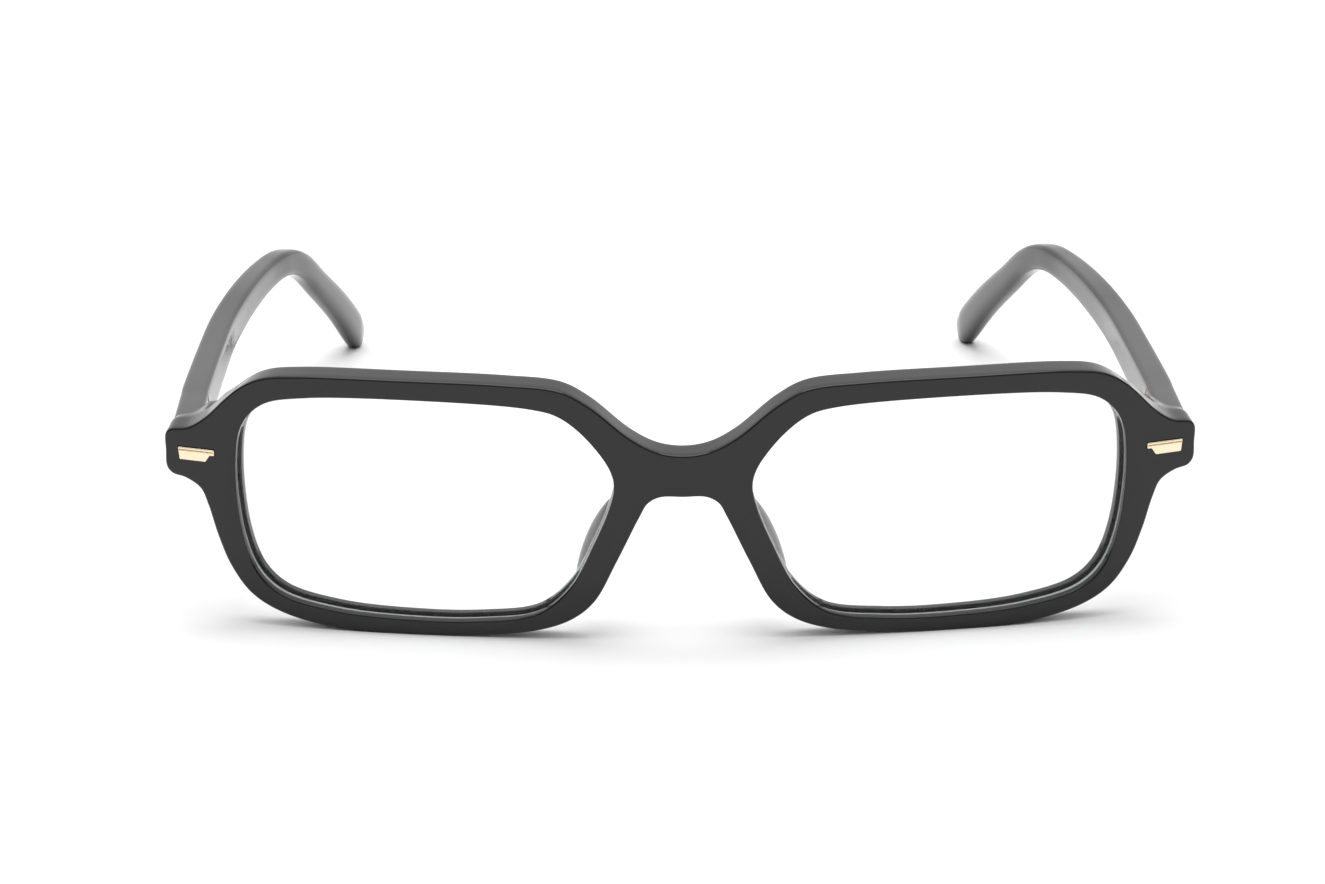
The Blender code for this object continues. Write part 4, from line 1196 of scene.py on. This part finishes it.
def add_paper(stage):
    """The paper floor: a flat grid, just under the frame's feet."""
    across = np.linspace(-0.5, 0.5, PAPER_POINTS) * stage.paper_size
    x, y = np.meshgrid(across, across)
    z = np.full_like(x, -PAPER_DROP)
    points, faces = surface(np.stack([x, y, z], axis=-1), closed=False)
    mesh = bpy.data.meshes.new("paper_floor")
    mesh.from_pydata(points.tolist(), [], faces.tolist())
    mesh.shade_smooth()
    mesh.materials.append(finish_material("paper", floor_paper))
    floor = bpy.data.objects.new("paper_floor", mesh)
    bpy.context.scene.collection.objects.link(floor)


def add_lights(stage):
    """White light from above and behind, a dimmer room in front, and a large softbox overhead."""
    world = bpy.data.worlds.new("white_room")
    world.use_nodes = True
    heading = add_node(world, "ShaderNodeTexCoord", {}, {}).outputs["Generated"]
    parts = add_node(world, "ShaderNodeSeparateXYZ", {}, {"Vector": heading}).outputs
    shares = [add_node(world, "ShaderNodeMapRange",
                       {"interpolation_type": "SMOOTHSTEP", "From Min": low, "From Max": high,
                        "To Min": 1.0, "To Max": 0.0}, {"Value": parts[axis]}).outputs["Result"]
              for axis, low, high in DIM_BANDS]
    dim = add_node(world, "ShaderNodeMath", {"operation": "MULTIPLY"},
                   {0: shares[0], 1: shares[1]}).outputs["Value"]
    strength = add_node(world, "ShaderNodeMapRange",
                        {"From Min": 0.0, "From Max": 1.0, "To Min": stage.room_light,
                         "To Max": stage.dim_light}, {"Value": dim}).outputs["Result"]
    background = world.node_tree.nodes["Background"]
    background.inputs["Color"].default_value = (1.0, 1.0, 1.0, 1.0)
    world.node_tree.links.new(strength, background.inputs["Strength"])
    bpy.context.scene.world = world
    light = bpy.data.lights.new("softbox", "AREA")
    light.energy = stage.softbox_light
    light.size = stage.softbox_size
    softbox = bpy.data.objects.new("softbox", light)
    softbox.location = (0.0, 0.0, stage.softbox_height)
    bpy.context.scene.collection.objects.link(softbox)


def add_camera(stage):
    """The camera: its line of sight is turned, tilted down and rolled from looking along +Y."""
    data = bpy.data.cameras.new("camera")
    data.lens = stage.lens
    data.sensor_width = 36.0
    data.clip_start, data.clip_end = 0.01, 50.0
    data.dof.use_dof = False
    down, turn, roll = stage.camera_down, stage.camera_turn, stage.camera_roll
    ahead = Vector((-math.sin(turn) * math.cos(down), math.cos(turn) * math.cos(down),
                    -math.sin(down)))
    right = Vector((math.cos(turn), math.sin(turn), 0.0))
    up = right.cross(ahead)
    right, up = (right * math.cos(roll) + up * math.sin(roll),
                 up * math.cos(roll) - right * math.sin(roll))
    camera = bpy.data.objects.new("camera", data)
    rotation = Matrix((right, up, -ahead)).transposed().to_4x4()
    camera.matrix_world = Matrix.Translation(stage.camera_place) @ rotation
    bpy.context.scene.collection.objects.link(camera)
    bpy.context.scene.camera = camera


class SPECTACLES_PT_build(bpy.types.Panel):
    """Buttons and sizes of the spectacle frame."""

    bl_idname = "SPECTACLES_PT_build"
    bl_label = "Spectacles"
    bl_space_type = "VIEW_3D"
    bl_region_type = "UI"
    bl_category = "Spectacles"

    def draw(self, context):
        for operator in OPERATORS:
            self.layout.operator(operator.bl_idname)
        for group in (context.scene.spectacle_sizes, context.scene.spectacle_finishes,
                      context.scene.spectacle_stage):
            box = self.layout.box()
            for name in group.__annotations__:
                box.prop(group, name)


OPERATORS = (
    SPECTACLES_OT_front, SPECTACLES_OT_lenses, SPECTACLES_OT_pads, SPECTACLES_OT_plaques,
    SPECTACLES_OT_temples, SPECTACLES_OT_hardware, SPECTACLES_OT_stage,
)
GROUPS = (SpectacleSizes, SpectacleFinishes, SpectacleStage)
CLASSES = (*GROUPS, *OPERATORS, SPECTACLES_PT_build)


def register():
    """Register the classes, and hang the property groups on the scene."""
    for cls in CLASSES:
        bpy.utils.register_class(cls)
    bpy.types.Scene.spectacle_sizes = PointerProperty(type=SpectacleSizes)
    bpy.types.Scene.spectacle_finishes = PointerProperty(type=SpectacleFinishes)
    bpy.types.Scene.spectacle_stage = PointerProperty(type=SpectacleStage)


def unregister():
    """Undo register()."""
    del bpy.types.Scene.spectacle_stage
    del bpy.types.Scene.spectacle_finishes
    del bpy.types.Scene.spectacle_sizes
    for cls in reversed(CLASSES):
        bpy.utils.unregister_class(cls)


def main():
    register()
    bpy.ops.spectacles.front()
    bpy.ops.spectacles.lenses()
    bpy.ops.spectacles.pads()
    bpy.ops.spectacles.plaques()
    bpy.ops.spectacles.temples()
    bpy.ops.spectacles.hardware()
    bpy.ops.spectacles.stage()


if __name__ == "__main__":
    main()
